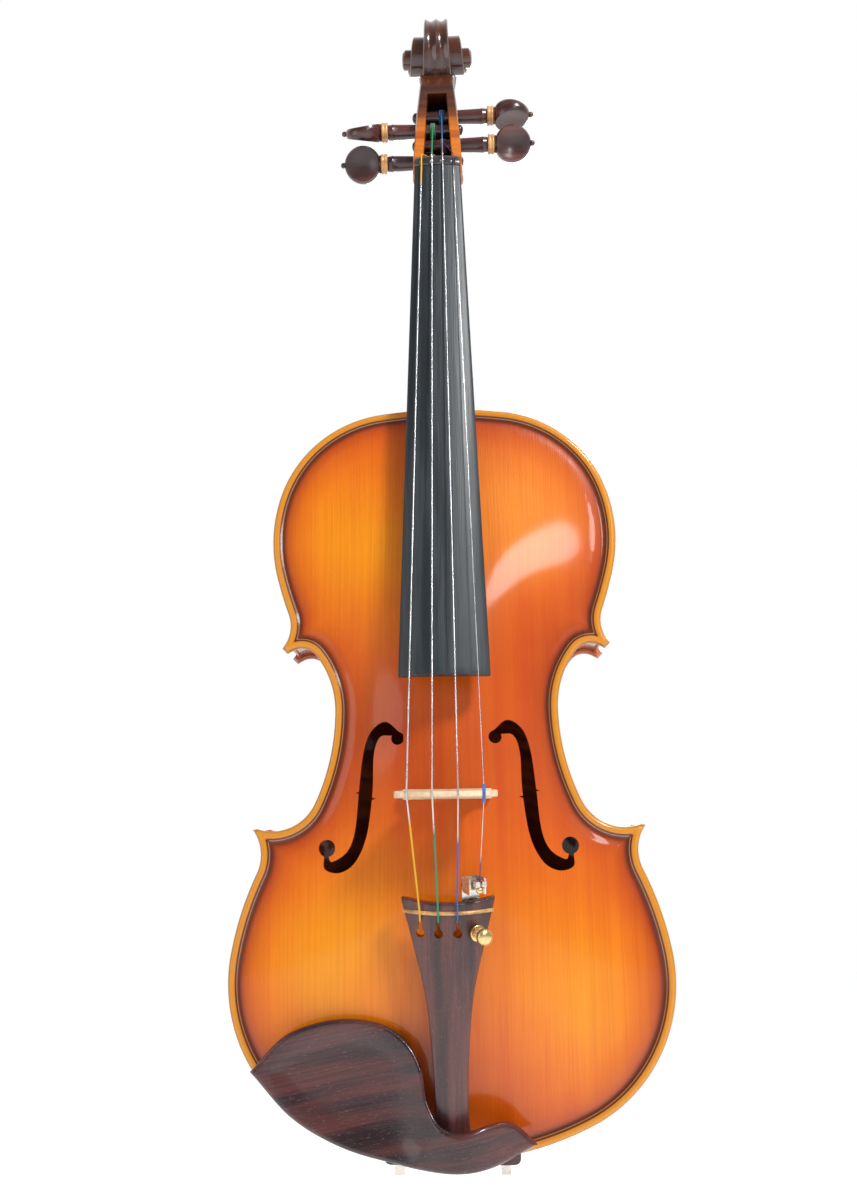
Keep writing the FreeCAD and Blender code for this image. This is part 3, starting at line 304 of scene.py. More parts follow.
def under_height(x, z, rim_depth, rise):
    """The underside: rounded at the rim, flat where the ribs are glued, then 3 mm below the outside."""
    rounded = 2.0 - 2.0 * np.sqrt(np.maximum(0.0, 1 - np.maximum(0.0, 1 - rim_depth / 1.6) ** 2))
    hollow = np.maximum(0.0, carved_height(x, z, rim_depth, rise) - 3.0) * smooth((rim_depth - 7.0) / 3.0)
    return np.where(rim_depth < 1.6, rounded, hollow)


def through(points, closed=False, step=0.6):
    """A smooth run of points through the given ones."""
    p = np.array(points, float)
    if closed:
        p = np.vstack([p[-1], p, p[0], p[1]])
    else:
        p = np.vstack([2 * p[0] - p[1], p, 2 * p[-1] - p[-2]])
    found = []
    for i in range(1, len(p) - 2):
        count = max(2, int(np.linalg.norm(p[i + 1] - p[i]) / step))
        for t in np.arange(count) / count:
            found.append(0.5 * (2 * p[i] + (p[i + 1] - p[i - 1]) * t
                                + (2 * p[i - 1] - 5 * p[i] + 4 * p[i + 1] - p[i + 2]) * t ** 2
                                + (3 * p[i] - p[i - 1] - 3 * p[i + 1] + p[i + 2]) * t ** 3))
    if not closed:
        found.append(p[-2])
    return np.array(found)


def circle_points(x, z, radius, count=28):
    turn = np.arange(count) * 2 * np.pi / count
    return np.stack([x + radius * np.cos(turn), z + radius * np.sin(turn)], 1)


def sound_hole(side):
    """Stem, two eyes and two nicks of one f-hole."""
    outer = through([(22.0, 191.6), (29.0, 196.9), (36.2, 192.3), (39.9, 181.3), (41.9, 163.5),
                     (43.6, 146.0),
                     (47.3, 136.6), (54.4, 132.0), (56.2, 134.4)])
    inner = through([(58.4, 134.6), (58.0, 128.6), (51.0, 126.9), (43.6, 131.4), (38.0, 143.4),
                     (35.2, 163.5),
                     (34.6, 181.3), (31.6, 189.6), (26.0, 190.2)])
    loops = [np.vstack([outer, inner]), circle_points(23.0, 188.8, 3.1), circle_points(57.0, 138.2, 4.0)]
    for x, up, way in ((35.0, 160.8, -1), (42.0, 163.7, 1)):
        loops.append(np.array([(x - way, up - 0.7), (x + way * 1.5, up), (x - way, up + 0.7)]))
    return [loop * (side, 1) + (0, BODY_LOW) for loop in loops]


RIM_ROWS = [0.07, 0.27, 0.59, 1.0, 1.48, 2.0, 2.7, 3.6, 4.6, 5.8, 7.2, 8.8]
BELLY_ARCH = 16.0
outline = body_outline()
f_holes = sound_hole(-1) + sound_hole(1)
belly = carve(
    "belly", outline, f_holes,
    lambda x, z, d: -RIB_FACE - carved_height(x, z, d, BELLY_ARCH),
    lambda x, z, d: -RIB_FACE - under_height(x, z, d, BELLY_ARCH), 2.3, RIM_ROWS)


def add_node(tree, kind, values=None, **settings):
    """A node with its settings; values go to its sockets, by name or number, as links or plain values."""
    made = tree.nodes.new(kind)
    for key, value in settings.items():
        setattr(made, key, value)
    for key, value in (values or {}).items():
        socket = made.inputs[key]
        if isinstance(value, bpy.types.NodeSocket):
            tree.links.new(value, socket)
        else:
            socket.default_value = value
    return made


def sums(tree, operation, a, b=0.0, c=0.0):
    return add_node(tree, "ShaderNodeMath", {0: a, 1: b, 2: c}, operation=operation).outputs[0]


def ramp(tree, value, *stops):
    """A colour ramp; each stop is (place, colour)."""
    made = add_node(tree, "ShaderNodeValToRGB", {"Fac": value})
    made.color_ramp.elements[0].position, made.color_ramp.elements[1].position = stops[0][0], stops[-1][0]
    for place, _ in stops[1:-1]:
        made.color_ramp.elements.new(place)
    for element, (_, colour) in zip(made.color_ramp.elements, stops):
        element.color = (*colour, 1)
    return made.outputs["Color"]


def blend_colours(tree, amount, a, b, kind="MIX"):
    made = add_node(tree, "ShaderNodeMix", {0: amount, 6: a, 7: b}, data_type="RGBA", blend_type=kind)
    return made.outputs[2]


def stretch(tree, low, high, value):
    """0 below low, 1 above high."""
    made = add_node(tree, "ShaderNodeMapRange", {0: value, 1: low, 2: high, 3: 0.0, 4: 1.0})
    made.interpolation_type = "SMOOTHSTEP"
    return made.outputs[0]


def new_material(name, **constants):
    """A material with a Principled shader; constants are set on the shader's own sockets."""
    made = bpy.data.materials.new(name)
    made.use_nodes = True
    tree = made.node_tree
    shader = tree.nodes["Principled BSDF"]
    for key, value in constants.items():
        shader.inputs[key.replace("_", " ")].default_value = value
    place = add_node(tree, "ShaderNodeTexCoord").outputs["Object"]
    return made, tree, shader, place


def grain_group():
    """Growth lines, broad streaks and pores that run along Z of the place given, at so many lines a metre."""
    tree = bpy.data.node_groups.new("wood_grain", "ShaderNodeTree")
    for name, kind in (("Place", "NodeSocketVector"), ("Lines a metre", "NodeSocketFloat"),
                       ("Run", "NodeSocketFloat")):
        tree.interface.new_socket(name, in_out="INPUT", socket_type=kind)
    for name in ("Lines", "Streaks", "Pores"):
        tree.interface.new_socket(name, in_out="OUTPUT", socket_type="NodeSocketFloat")
    inside_group = add_node(tree, "NodeGroupInput")
    place, lines, run = (inside_group.outputs[k] for k in range(3))
    x, y, z = add_node(tree, "ShaderNodeSeparateXYZ", {0: place}).outputs
    sway = add_node(tree, "ShaderNodeTexNoise", {"Vector": place, "Scale": 9.0, "Detail": 2.0}).outputs[0]
    bent = sums(tree, "MULTIPLY_ADD", sway, 0.004, x)

    def stretched(across, along, third=1.0):
        return add_node(tree, "ShaderNodeCombineXYZ", {
            0: sums(tree, "MULTIPLY", bent, across),
            1: sums(tree, "MULTIPLY", y, sums(tree, "MULTIPLY", across, third)),
            2: sums(tree, "MULTIPLY", z, along)}).outputs[0]

    fine = add_node(tree, "ShaderNodeTexNoise",
                    {"Vector": stretched(lines, run, 0.2), "Scale": 1.0, "Detail": 2.0, "Roughness": 0.45})
    broad = add_node(tree, "ShaderNodeTexNoise",
                     {"Vector": stretched(sums(tree, "MULTIPLY", lines, 0.11), run, 0.3), "Scale": 1.0,
                      "Detail": 3.0})
    specks = add_node(tree, "ShaderNodeTexNoise",
                      {"Vector": stretched(sums(tree, "MULTIPLY", lines, 2.6),
                                           sums(tree, "MULTIPLY", run, 40.0)),
                       "Scale": 1.0, "Detail": 1.0})
    out = add_node(tree, "NodeGroupOutput")
    tree.links.new(stretch(tree, 0.38, 0.66, fine.outputs[0]), out.inputs[0])
    tree.links.new(stretch(tree, 0.35, 0.65, broad.outputs[0]), out.inputs[1])
    tree.links.new(stretch(tree, 0.64, 0.74, specks.outputs[0]), out.inputs[2])
    return tree


wood_grain = grain_group()


def grain(tree, place, lines, run):
    made = add_node(tree, "ShaderNodeGroup", node_tree=wood_grain)
    tree.links.new(place, made.inputs[0])
    made.inputs[1].default_value = lines
    made.inputs[2].default_value = run
    return made.outputs


def bump(tree, shader, height, strength, depth):
    made = add_node(tree, "ShaderNodeBump", {"Height": height, "Strength": strength, "Distance": depth})
    tree.links.new(made.outputs[0], shader.inputs["Normal"])
    return made


def attribute(tree, name):
    return add_node(tree, "ShaderNodeAttribute", attribute_name=name).outputs["Fac"]


belly_points = mesh_points(belly)
glow = np.zeros(len(belly_points))
for gx, gup, wide, tall, strength in (
        (-46, 285, 44, 50, 0.80), (42, 300, 40, 44, 0.75), (-58, 84, 50, 58, 0.70), (62, 76, 46, 58, 0.75),
        (-8, 100, 46, 50, 0.30), (0, 235, 34, 40, 0.15)):
    glow += strength * np.exp(-((belly_points[:, 0] - gx) / wide) ** 2
                              - ((belly_points[:, 2] - BODY_LOW - gup) / tall) ** 2)
store(belly, "glow", np.clip(glow, 0, 1))

varnished_spruce, tree, shader, place = new_material(
    "varnished_spruce", Roughness=0.38, Coat_Weight=0.75, Coat_Roughness=0.09, Coat_IOR=1.45,
    Specular_IOR_Level=0.2)
lines, streaks, pores = grain(tree, place, 1250.0, 3.0)[:3]
cloud = add_node(tree, "ShaderNodeTexNoise", {"Vector": place, "Scale": 14.0, "Detail": 3.0}).outputs[0]
shine = sums(tree, "ADD", attribute(tree, "glow"), sums(tree, "MULTIPLY_ADD", cloud, 0.6, -0.28))
colour = ramp(tree, shine, (0.0, (0.42, 0.042, 0.001)), (0.3, (0.58, 0.085, 0.001)),
              (0.6, (0.70, 0.165, 0.001)),
              (0.95, (0.78, 0.28, 0.001)))
rim = attribute(tree, "rim")
colour = blend_colours(tree, sums(tree, "MULTIPLY", lines, 0.20), colour, (0.45, 0.060, 0.002, 1))
colour = blend_colours(tree, sums(tree, "MULTIPLY", streaks, 0.08), colour, (0.85, 0.30, 0.002, 1))
# the varnish is worn to gold on the rim, dark over the purfling, and red-brown inside it
near_rim = ramp(tree, sums(tree, "DIVIDE", rim, 40.0), (0.0, (0.34, 0.11, 0.010)),
                (0.03, (0.60, 0.24, 0.018)),
                (0.080, (0.58, 0.20, 0.012)), (0.090, (0.09, 0.014, 0.002)), (0.14, (0.10, 0.014, 0.002)),
                (0.19, (0.30, 0.032, 0.002)), (0.6, (0.46, 0.050, 0.002)))
patchy = sums(tree, "MULTIPLY_ADD", cloud, 0.16, sums(tree, "DIVIDE", rim, 40.0))
cover = ramp(tree, patchy, (0.0, (1, 1, 1)), (0.23, (1, 1, 1)), (0.29, (0.60, 0.60, 0.60)),
             (0.40, (0.26, 0.26, 0.26)),
             (0.62, (0, 0, 0)))
colour = blend_colours(tree, cover, colour, near_rim)
tree.links.new(colour, shader.inputs["Base Color"])
bump(tree, shader, sums(tree, "ADD", lines, sums(tree, "MULTIPLY", pores, 0.4)), 0.10, 0.0004)
belly.data.materials.append(varnished_spruce)
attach(belly, "body")
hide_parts("top_plate")


# ------------------------------------------------------------------ back
# One-piece plate of flamed maple, arched 14.5 mm, 4 mm at the edge, with the round button that covers the
# foot of the neck. Red-brown oil varnish that darkens towards the rim.
BACK_ARCH = 14.5
BUTTON_RADIUS = 10.5
button_turn = np.radians(np.arange(-7, 188, 6))
button_points = np.stack([BUTTON_RADIUS * np.cos(button_turn),
                          BODY_LOW + BODY_LENGTH + 1.5 + BUTTON_RADIUS * np.sin(button_turn)], 1)
top_index = int(np.argmax(outline[:, 1]))
back_outline = [p for p in outline[:top_index] if not (p[0] < 10.4 and p[1] > 300)]
back_outline += list(button_points)
back_outline += [p for p in outline[top_index:] if not (p[0] > -10.4 and p[1] > 300)]
back_outline = np.array(back_outline)
back = carve(
    "back", back_outline, [],
    lambda x, z, d: RIB_FACE + carved_height(x, z, d, BACK_ARCH),
    lambda x, z, d: RIB_FACE + under_height(x, z, d, BACK_ARCH), 2.6, RIM_ROWS, facing=1)


def flame_group():
    """Bands of curled maple: they cross the run (in metres) and wander over the other two."""
    tree = bpy.data.node_groups.new("maple_flame", "ShaderNodeTree")
    for name in ("Run", "Across", "Seed"):
        tree.interface.new_socket(name, in_out="INPUT", socket_type="NodeSocketFloat")
    tree.interface.new_socket("Flame", in_out="OUTPUT", socket_type="NodeSocketFloat")
    run, across, seed = (add_node(tree, "NodeGroupInput").outputs[k] for k in range(3))
    wander = add_node(tree, "ShaderNodeCombineXYZ", {0: sums(tree, "MULTIPLY", run, 9.0),
                                                    1: sums(tree, "MULTIPLY", across, 22.0),
                                                     2: seed}).outputs[0]
    shift = add_node(tree, "ShaderNodeTexNoise", {"Vector": wander, "Scale": 1.0, "Detail": 2.0}).outputs[0]
    bands = add_node(tree, "ShaderNodeCombineXYZ", {
        0: sums(tree, "MULTIPLY", sums(tree, "MULTIPLY_ADD", shift, 0.03, run), 150.0),
        1: sums(tree, "MULTIPLY", across, 7.0), 2: seed}).outputs[0]
    band = add_node(tree, "ShaderNodeTexNoise",
                    {"Vector": bands, "Scale": 1.0, "Detail": 1.5, "Roughness": 0.4})
    out = add_node(tree, "NodeGroupOutput")
    tree.links.new(stretch(tree, 0.36, 0.64, band.outputs[0]), out.inputs[0])
    return tree


maple_flame = flame_group()


def flame(tree, run, across, seed):
    made = add_node(tree, "ShaderNodeGroup", node_tree=maple_flame)
    for socket, value in zip(made.inputs, (run, across, seed)):
        if isinstance(value, bpy.types.NodeSocket):
            tree.links.new(value, socket)
        else:
            socket.default_value = value
    return made.outputs[0]


varnished_maple, tree, shader, place = new_material(
    "varnished_maple", Roughness=0.32, Coat_Weight=0.85, Coat_Roughness=0.07, Coat_IOR=1.5,
    Specular_IOR_Level=0.35)
x, y, z = add_node(tree, "ShaderNodeSeparateXYZ", {0: place}).outputs
slope = sums(tree, "MULTIPLY_ADD", x, 0.22, z)
bands = flame(tree, slope, x, 3.0)
lines, streaks, pores = grain(tree, place, 700.0, 14.0)[:3]
rim = attribute(tree, "rim")
colour = blend_colours(tree, bands, (0.24, 0.036, 0.004, 1), (0.52, 0.125, 0.007, 1))
shade = ramp(tree, sums(tree, "DIVIDE", rim, 60.0), (0.0, (0.85, 0.6, 0.45)), (0.04, (1.0, 0.9, 0.7)),
             (0.075, (0.6, 0.34, 0.2)), (0.13, (0.55, 0.3, 0.18)), (0.4, (0.85, 0.68, 0.5)),
             (1.0, (1.2, 1.1, 1.0)))
colour = blend_colours(tree, 1.0, colour, shade, "MULTIPLY")
colour = blend_colours(tree, sums(tree, "MULTIPLY", pores, 0.35), colour, (0.16, 0.03, 0.006, 1))
tree.links.new(colour, shader.inputs["Base Color"])
bump(tree, shader, sums(tree, "ADD", sums(tree, "MULTIPLY", bands, 0.5), lines), 0.06, 0.0004)
back.data.materials.append(varnished_maple)
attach(back, "body")
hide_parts("back_plate")


# ------------------------------------------------------------------ purfling
# Three glued strips, black, pale, black, 1.2 mm wide in all, let into a groove 3.8 mm in from the edge of
# both plates, with sharp mitres at the corners. They lie flush under the varnish.
PURFLING_IN = 3.8


def purfling_run(loop, side, rise, name, node):
    outer, outer_good = inset_loop(loop, PURFLING_IN)
    inner, inner_good = inset_loop(loop, 5.0)
    keep = np.nonzero(outer_good)[0]
    good = np.nonzero(inner_good)[0]
    rows = []
    for i in keep:
        j = good[np.argmin(np.minimum((good - i) % len(loop), (i - good) % len(loop)))]
        rows.append((outer[i], inner[j]))
    points, across = [], []
    for a, b in rows:
        for t in (0.0, 0.0, 0.3, 0.7, 1.0, 1.0):
            points.append((a * (1 - t) + b * t))
            across.append(t)
    flat = np.array(points)
    depth = distance_to(loop, flat)
    height = RIB_FACE + carved_height(flat[:, 0], flat[:, 1], depth, rise) + 0.02
    height[0::6] -= 1.2
    height[5::6] -= 1.2
    corners = np.stack([flat[:, 0], side * height, flat[:, 1]], 1)
    faces = []
    count = len(rows)
    for r in range(count):
        s = (r + 1) % count
        for k in range(6):
            m = (k + 1) % 6
            face = (r * 6 + k, s * 6 + k, s * 6 + m, r * 6 + m)
            faces.append(face if side < 0 else face[::-1])
    piece = make_mesh(name, corners, faces)
    store(piece, "across", across)
    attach(piece, "body")
    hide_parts(node)
    return piece


purfling_wood, tree, shader, place = new_material(
    "purfling_wood", Roughness=0.35, Coat_Weight=0.8, Coat_Roughness=0.08)
across = attribute(tree, "across")
lines = grain(tree, place, 900.0, 60.0)[0]
colour = ramp(tree, across, (0.0, (0.035, 0.008, 0.003)), (0.3, (0.045, 0.01, 0.004)),
              (0.36, (0.42, 0.13, 0.02)),
              (0.62, (0.42, 0.13, 0.02)), (0.7, (0.045, 0.01, 0.004)), (1.0, (0.035, 0.008, 0.003)))
colour = blend_colours(tree, sums(tree, "MULTIPLY", lines, 0.3), colour, (0.12, 0.03, 0.01, 1))
tree.links.new(colour, shader.inputs["Base Color"])
for loop, side, rise, name, node in ((outline, -1, BELLY_ARCH, "purfling_front", "purfling_top"),
                                     (outline, 1, BACK_ARCH, "purfling_rear", "purfling_back")):
    strip = purfling_run(loop, side, rise, name, node)
    strip.data.materials.append(purfling_wood)


# ------------------------------------------------------------------ ribs
# Six strips of flamed maple, 1 mm thick and 31 mm high, bent on an iron, set 2.5 mm inside the edge of the
# plates and mitred at the corners. Their flame stands upright, along the height of the rib.
def rib(name, line_out, line_in, node):
    """A strip between two matching runs of (x, z)."""
    points, faces, run = [], [], []
    length = np.concatenate([[0], np.cumsum(np.linalg.norm(np.diff(line_out, axis=0), axis=1))])
    heights = [-15.45, -14.0, -7.0, 0.0, 7.0, 14.0, 15.45]
    for (a, b), along in zip(zip(line_out, line_in), length):
        for y in heights:
            points.append((a[0], y, a[1]))
            run.append(along)
        for y in heights[::-1]:
            points.append((b[0], y, b[1]))
            run.append(along)
    wide = len(heights) * 2
    count = len(line_out)
    for r in range(count - 1):
        for k in range(wide):
            m = (k + 1) % wide
            faces.append((r * wide + k, r * wide + m, (r + 1) * wide + m, (r + 1) * wide + k))
    faces.append(tuple(range(wide))[::-1])
    faces.append(tuple((count - 1) * wide + k for k in range(wide)))
    piece = make_mesh(name, points, faces)
    store(piece, "run", np.array(run) / 1000.0)
    made = bmesh.new()
    made.from_mesh(piece.data)
    bmesh.ops.recalc_face_normals(made, faces=made.faces)
    made.to_mesh(piece.data)
    made.free()
    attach(piece, "body")
    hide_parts(node)
    return piece


rib_maple, tree, shader, place = new_material(
    "rib_maple", Roughness=0.32, Coat_Weight=0.85, Coat_Roughness=0.07, Coat_IOR=1.5,
    Specular_IOR_Level=0.35)
x, y, z = add_node(tree, "ShaderNodeSeparateXYZ", {0: place}).outputs
run = attribute(tree, "run")
bands = flame(tree, run, y, 11.0)
pores = grain(tree, add_node(tree, "ShaderNodeCombineXYZ", {0: y, 1: z, 2: run}).outputs[0], 900.0, 20.0)[2]
colour = blend_colours(tree, bands, (0.24, 0.036, 0.004, 1), (0.50, 0.12, 0.007, 1))
# darker towards the plates: painted shade under their overhang
plate_overhang_shade = stretch(tree, 0.011, 0.0155, add_node(tree, "ShaderNodeMath", {0: y},
                                                  operation="ABSOLUTE").outputs[0])
colour = blend_colours(tree, sums(tree, "MULTIPLY", plate_overhang_shade, 0.6), colour, (0.14, 0.022, 0.004, 1))
colour = blend_colours(tree, sums(tree, "MULTIPLY", pores, 0.35), colour, (0.16, 0.03, 0.006, 1))
tree.links.new(colour, shader.inputs["Base Color"])
bump(tree, shader, bands, 0.05, 0.0004)
for side, word in ((-1, "left"), (1, "right")):
    runs = {}
    for part, start, bends, turn in (
            ("lower", (0, 0, 0), LOWER_BOUT, 1), ("upper", (0, BODY_LENGTH, 0), UPPER_BOUT, -1),
            ("to_low", (WAIST, WAIST_UP, -90), WAIST_TO_LOWER, -1),
            ("to_high", (WAIST, WAIST_UP, 90), WAIST_TO_UPPER, 1)):
        runs[part] = [bend_points(*start, bends, inset=turn * depth) for depth in (2.5, 3.5)]
    waist = [np.vstack([low[::-1], high[1:]]) for low, high in zip(runs["to_low"], runs["to_high"])]
    low_tip, low_in = np.array((91.7, 147.4)), np.array((80.0, 139.4))
    high_tip, high_in = np.array((78.4, 232.8)), np.array((68.0, 240.8))

    def side_of(points, tip, deep):
        ahead = tip - deep
        return ahead[0] * (points[:, 1] - deep[1]) - ahead[1] * (points[:, 0] - deep[0])

    shapes = {}
    below = (side_of(runs["lower"][0], low_tip, low_in) <= 0) | (runs["lower"][0][:, 0] < 60)
    shapes["lower"] = [line[below] for line in runs["lower"]]
    above = (side_of(runs["upper"][0], high_tip, high_in) >= 0) | (runs["upper"][0][:, 0] < 50)
    shapes["upper"] = [line[above] for line in runs["upper"]]
    between = (side_of(waist[0], low_tip, low_in) >= 0) & (side_of(waist[0], high_tip, high_in) <= 0)
    shapes["waist"] = [line[between] for line in waist]
    for part, pair in shapes.items():
        lines_out, lines_in = [line * (side, 1) + (0, BODY_LOW) for line in pair]
        strip = rib(f"rib_{part}_{word}_visual", lines_out, lines_in, f"rib_{part}_{word}")
        strip.data.materials.append(rib_maple)


# ------------------------------------------------------------------ neck, pegbox and scroll
# One piece of maple: a rounded shaft, a heel let into the body, a slotted pegbox with a twice fluted back,
# and a volute whose turns grow wider towards the eyes. The shaft is oiled, the rest varnished and worn.
NUT_Z = 494.0
EYE_Y = 7.0
EYE_Z = 577.0
VOLUTE = 21.5


def crown_y(z):
    return -24.0 - 28.3 * (NUT_Z - z) / 272.0


def board_half(z):
    return 12.0 + 9.4 * (NUT_Z - z) / 272.0


def board_side_y(z):
    return crown_y(z) + 42.0 - math.sqrt(42.0 ** 2 - board_half(z) ** 2)


def loft_faces(rows, count, start=0, closed=True):
    """Quads between rows of count points each, and a face over each end."""
    faces = []
    for r in range(rows - 1):
        for k in range(count if closed else count - 1):
            m = (k + 1) % count
            a = start + r * count
            faces.append((a + k, a + m, a + count + m, a + count + k))
    if closed:
        faces.append(tuple(start + k for k in range(count))[::-1])
        faces.append(tuple(start + (rows - 1) * count + k for k in range(count)))
    return faces


def join_meshes(piece, others, angle, outward=True):
    """Adds the others' meshes to the piece, and turns its faces outwards where asked."""
    made = bmesh.new()
    made.from_mesh(piece.data)
    for other in others:
        made.from_mesh(other.data)
        bpy.data.objects.remove(other)
    if outward:
        bmesh.ops.recalc_face_normals(made, faces=made.faces)
    made.to_mesh(piece.data)
    made.free()
    piece.data.shade_smooth()
    piece.data.set_sharp_from_angle(angle=math.radians(angle))


def lofted(name, solids, angle=35.0):
    """One mesh from several solids, each a list of rows of as many points; faces are turned outwards."""
    points, faces = [], []
    for rows in solids:
        faces += loft_faces(len(rows), len(rows[0]), len(points))
        for row in rows:
            points.extend(tuple(p) for p in row)
    piece = make_mesh(name, points, faces, angle=angle)
    join_meshes(piece, [], angle)
    return piece


shaft = []
for z in np.concatenate([np.linspace(368.0, 400.0, 20), np.linspace(404.0, 493.9, 22)]):
    wrap = float(np.interp(z, [377.5, 440.0, 494.0], [21.5, 20.0, 19.5]))
    wrap += 13.0 * max(0.0, (396.0 - z) / 26.0) ** 2.6
    y_flat = board_side_y(z) + 5.45
    deep = crown_y(z) + wrap - y_flat
    half = board_half(z) - 0.05
    back_curve = through([(half, y_flat), (half * 0.95, y_flat + deep * 0.42),
                          (half * 0.62, y_flat + deep * 0.86),
                          (0, y_flat + deep), (-half * 0.62, y_flat + deep * 0.86),
                          (-half * 0.95, y_flat + deep * 0.42), (-half, y_flat)], step=50)
    fine = np.linspace(0, len(back_curve) - 1, 25)
    xs = np.interp(fine, range(len(back_curve)), back_curve[:, 0])
    ys = np.interp(fine, range(len(back_curve)), back_curve[:, 1])
    shaft.append([(x, y, z) for x, y in zip(xs, ys)])

heel = []
for y in np.linspace(board_side_y(361.5) + 5.6, 15.4, 20):
    half = float(np.interp(y, [-34.0, -15.5, 0.0, 15.5], [16.6, 15.6, 13.2, 10.4]))
    reach = float(np.interp(y, [-34.0, -26.0, -15.5, -6.0, 0.0, 15.5],
                            [28.0, 23.0, 19.0, 16.0, 15.2, 13.4])) - 3.0
    row = [(-half, y, 353.2)]
    for k in range(21):
        a = math.pi * (1 - k / 20)
        flat = 0.62 * half
        row.append((half * math.copysign(abs(math.cos(a)) ** 0.82, math.cos(a)), y,
                    361.5 + reach - flat + flat * math.sin(a) ** 0.9))
    row.append((half, y, 353.2))
    heel.append(row)

peg_box = []
box_heights = [493.0, 494.5, 496.5, 499.9, 499.96] + list(np.linspace(500.8, 545.4, 30)) + [545.96, 546.02]
for z in box_heights + list(np.linspace(548.0, 575.0, 14)):
    half = float(np.interp(z, [492, 500, 530, 556, 582], [13.2, 12.9, 11.2, 9.0, 7.4]))
    front = float(np.interp(z, [493, 500, 530, 552, 560, 572, 576],
                            [-16.8, -19.5, -13.0, -6.5, -3.0, 4.0, 7.0]))
    rear = float(np.interp(z, [493, 496, 500, 508, 526, 548, 566], [-4.2, 2.2, 5.2, 8.5, 13.5, 20.5, 25.5]))
    if z > 566.0:
        rear = EYE_Y + math.sqrt(VOLUTE ** 2 - (EYE_Z - z) ** 2)
    slotted = 499.95 < z < 546.0
    wall = float(np.interp(z, [500, 545], [7.6, 5.0])) if slotted else half * 0.55
    bed = float(np.interp(z, [498, 512, 530, 546], [-3.5, 2.5, 7.5, 8.0])) if slotted else front
    flute = 1.15 * smooth((z - 497.0) / 22.0)
    row = [(half - 0.7, front), (half, front + 0.9), (half + 0.25, (front + rear) / 2)]
    row += [(half - 0.1, rear - 1.6)]
    row += [(half * u, rear - flute * math.sin(math.pi * abs(u)) ** 1.3 - (0.8 if abs(u) > 0.97 else 0.0))
            for u in np.linspace(0.98, -0.98, 25)]
    row += [(-half + 0.1, rear - 1.6), (-half - 0.25, (front + rear) / 2), (-half, front + 0.9),
            (-half + 0.7, front)]
    lip, drop, inset = (0.5, 0.6, 0.0) if slotted else (0.0, 0.0, 0.4)
    row += [(-wall - 0.4, front), (-wall, front + lip), (-wall + inset, bed - drop), (-wall + 0.8, bed),
            (wall - 0.8, bed), (wall - inset, bed - drop), (wall, front + lip), (wall + 0.4, front)]
    peg_box.append([(x, y, z) for x, y in row])

turns_t = [-0.06, 0.33, 0.58, 0.83, 1.08, 1.33, 1.58, 1.83, 2.08, 2.33, 2.65, 3.7]
turns_r = [VOLUTE, 21.45, 20.6, 17.9, 15.2, 13.0, 11.0, 9.2, 7.6, 6.2, 5.0, 3.5]
turns_h = [8.0, 6.2, 6.5, 8.4, 10.6, 12.4, 13.9, 15.3, 16.7, 17.9, 18.9, 19.0]
scroll_rows = []
for t in np.linspace(-0.05, 2.65, 230):
    r, half = float(np.interp(t, turns_t, turns_r)), float(np.interp(t, turns_t, turns_h))
    r_in = float(np.interp(t + 1.0, turns_t, turns_r)) * 0.72
    a = math.radians(-30.7) + t * 2 * math.pi
    flute = 1.35 * float(smooth((1.5 - t) / 0.5))
    row = [(r_in, half - 0.5), (r_in + 0.5 * (r - r_in), half - 1.0), (r - 1.5, half - 0.15),
           (r - 1.1, half + 0.1),
           (r - 0.75, half)]
    row += [(r - 0.05 - flute * math.sin(math.pi * abs(u)) ** 1.2, (half - 0.55) * u)
            for u in np.linspace(1, -1, 19)]
    row += [(r - 0.75, -half), (r - 1.1, -half - 0.1), (r - 1.5, -half + 0.15),
            (r_in + 0.5 * (r - r_in), -half + 1.0),
            (r_in, -half + 0.5)]
    scroll_rows.append([(x, EYE_Y + rho * math.cos(a), EYE_Z + rho * math.sin(a)) for rho, x in row])
eye = []
for x, r in ((-19.5, 1.2), (-19.45, 2.6), (-19.2, 3.9), (-18.7, 4.7), (-18.0, 4.9), (18.0, 4.9), (18.7, 4.7),
             (19.2, 3.9),
             (19.45, 2.6), (19.5, 1.2)):
    eye.append([(x, EYE_Y + r * math.cos(k * math.pi / 16), EYE_Z + r * math.sin(k * math.pi / 16))
                for k in range(32)])
neck = lofted("neck_and_scroll", [shaft, heel, peg_box, scroll_rows, eye], angle=38.0)

neck_points = mesh_points(neck)
# darker from the upper pegbox into the scroll; the near-black inside the pegbox's slot is painted shade
scroll_darkening_and_pegbox_shade = smooth((neck_points[:, 2] - 515.0) / 26.0) * 0.95
scroll_darkening_and_pegbox_shade += 0.9 * ((np.abs(neck_points[:, 0]) < 8.2) & (neck_points[:, 2] > 499.9) & (neck_points[:,
    2] < 547.0)
                   & (neck_points[:, 1] > np.interp(neck_points[:, 2], [500, 530, 552],
                                                    [-18.8, -12.3, -5.9]))
                   & (neck_points[:, 1] < np.interp(neck_points[:, 2], [498, 512, 530, 546],
                                                    [-3.2, 2.8, 7.8, 8.4])))
store(neck, "dark", np.clip(scroll_darkening_and_pegbox_shade, 0, 1))
store(neck, "bare", smooth((neck_points[:, 2] - 376.0) / 14.0) * (1 - smooth((neck_points[:,
    2] - 478.0) / 16.0)))

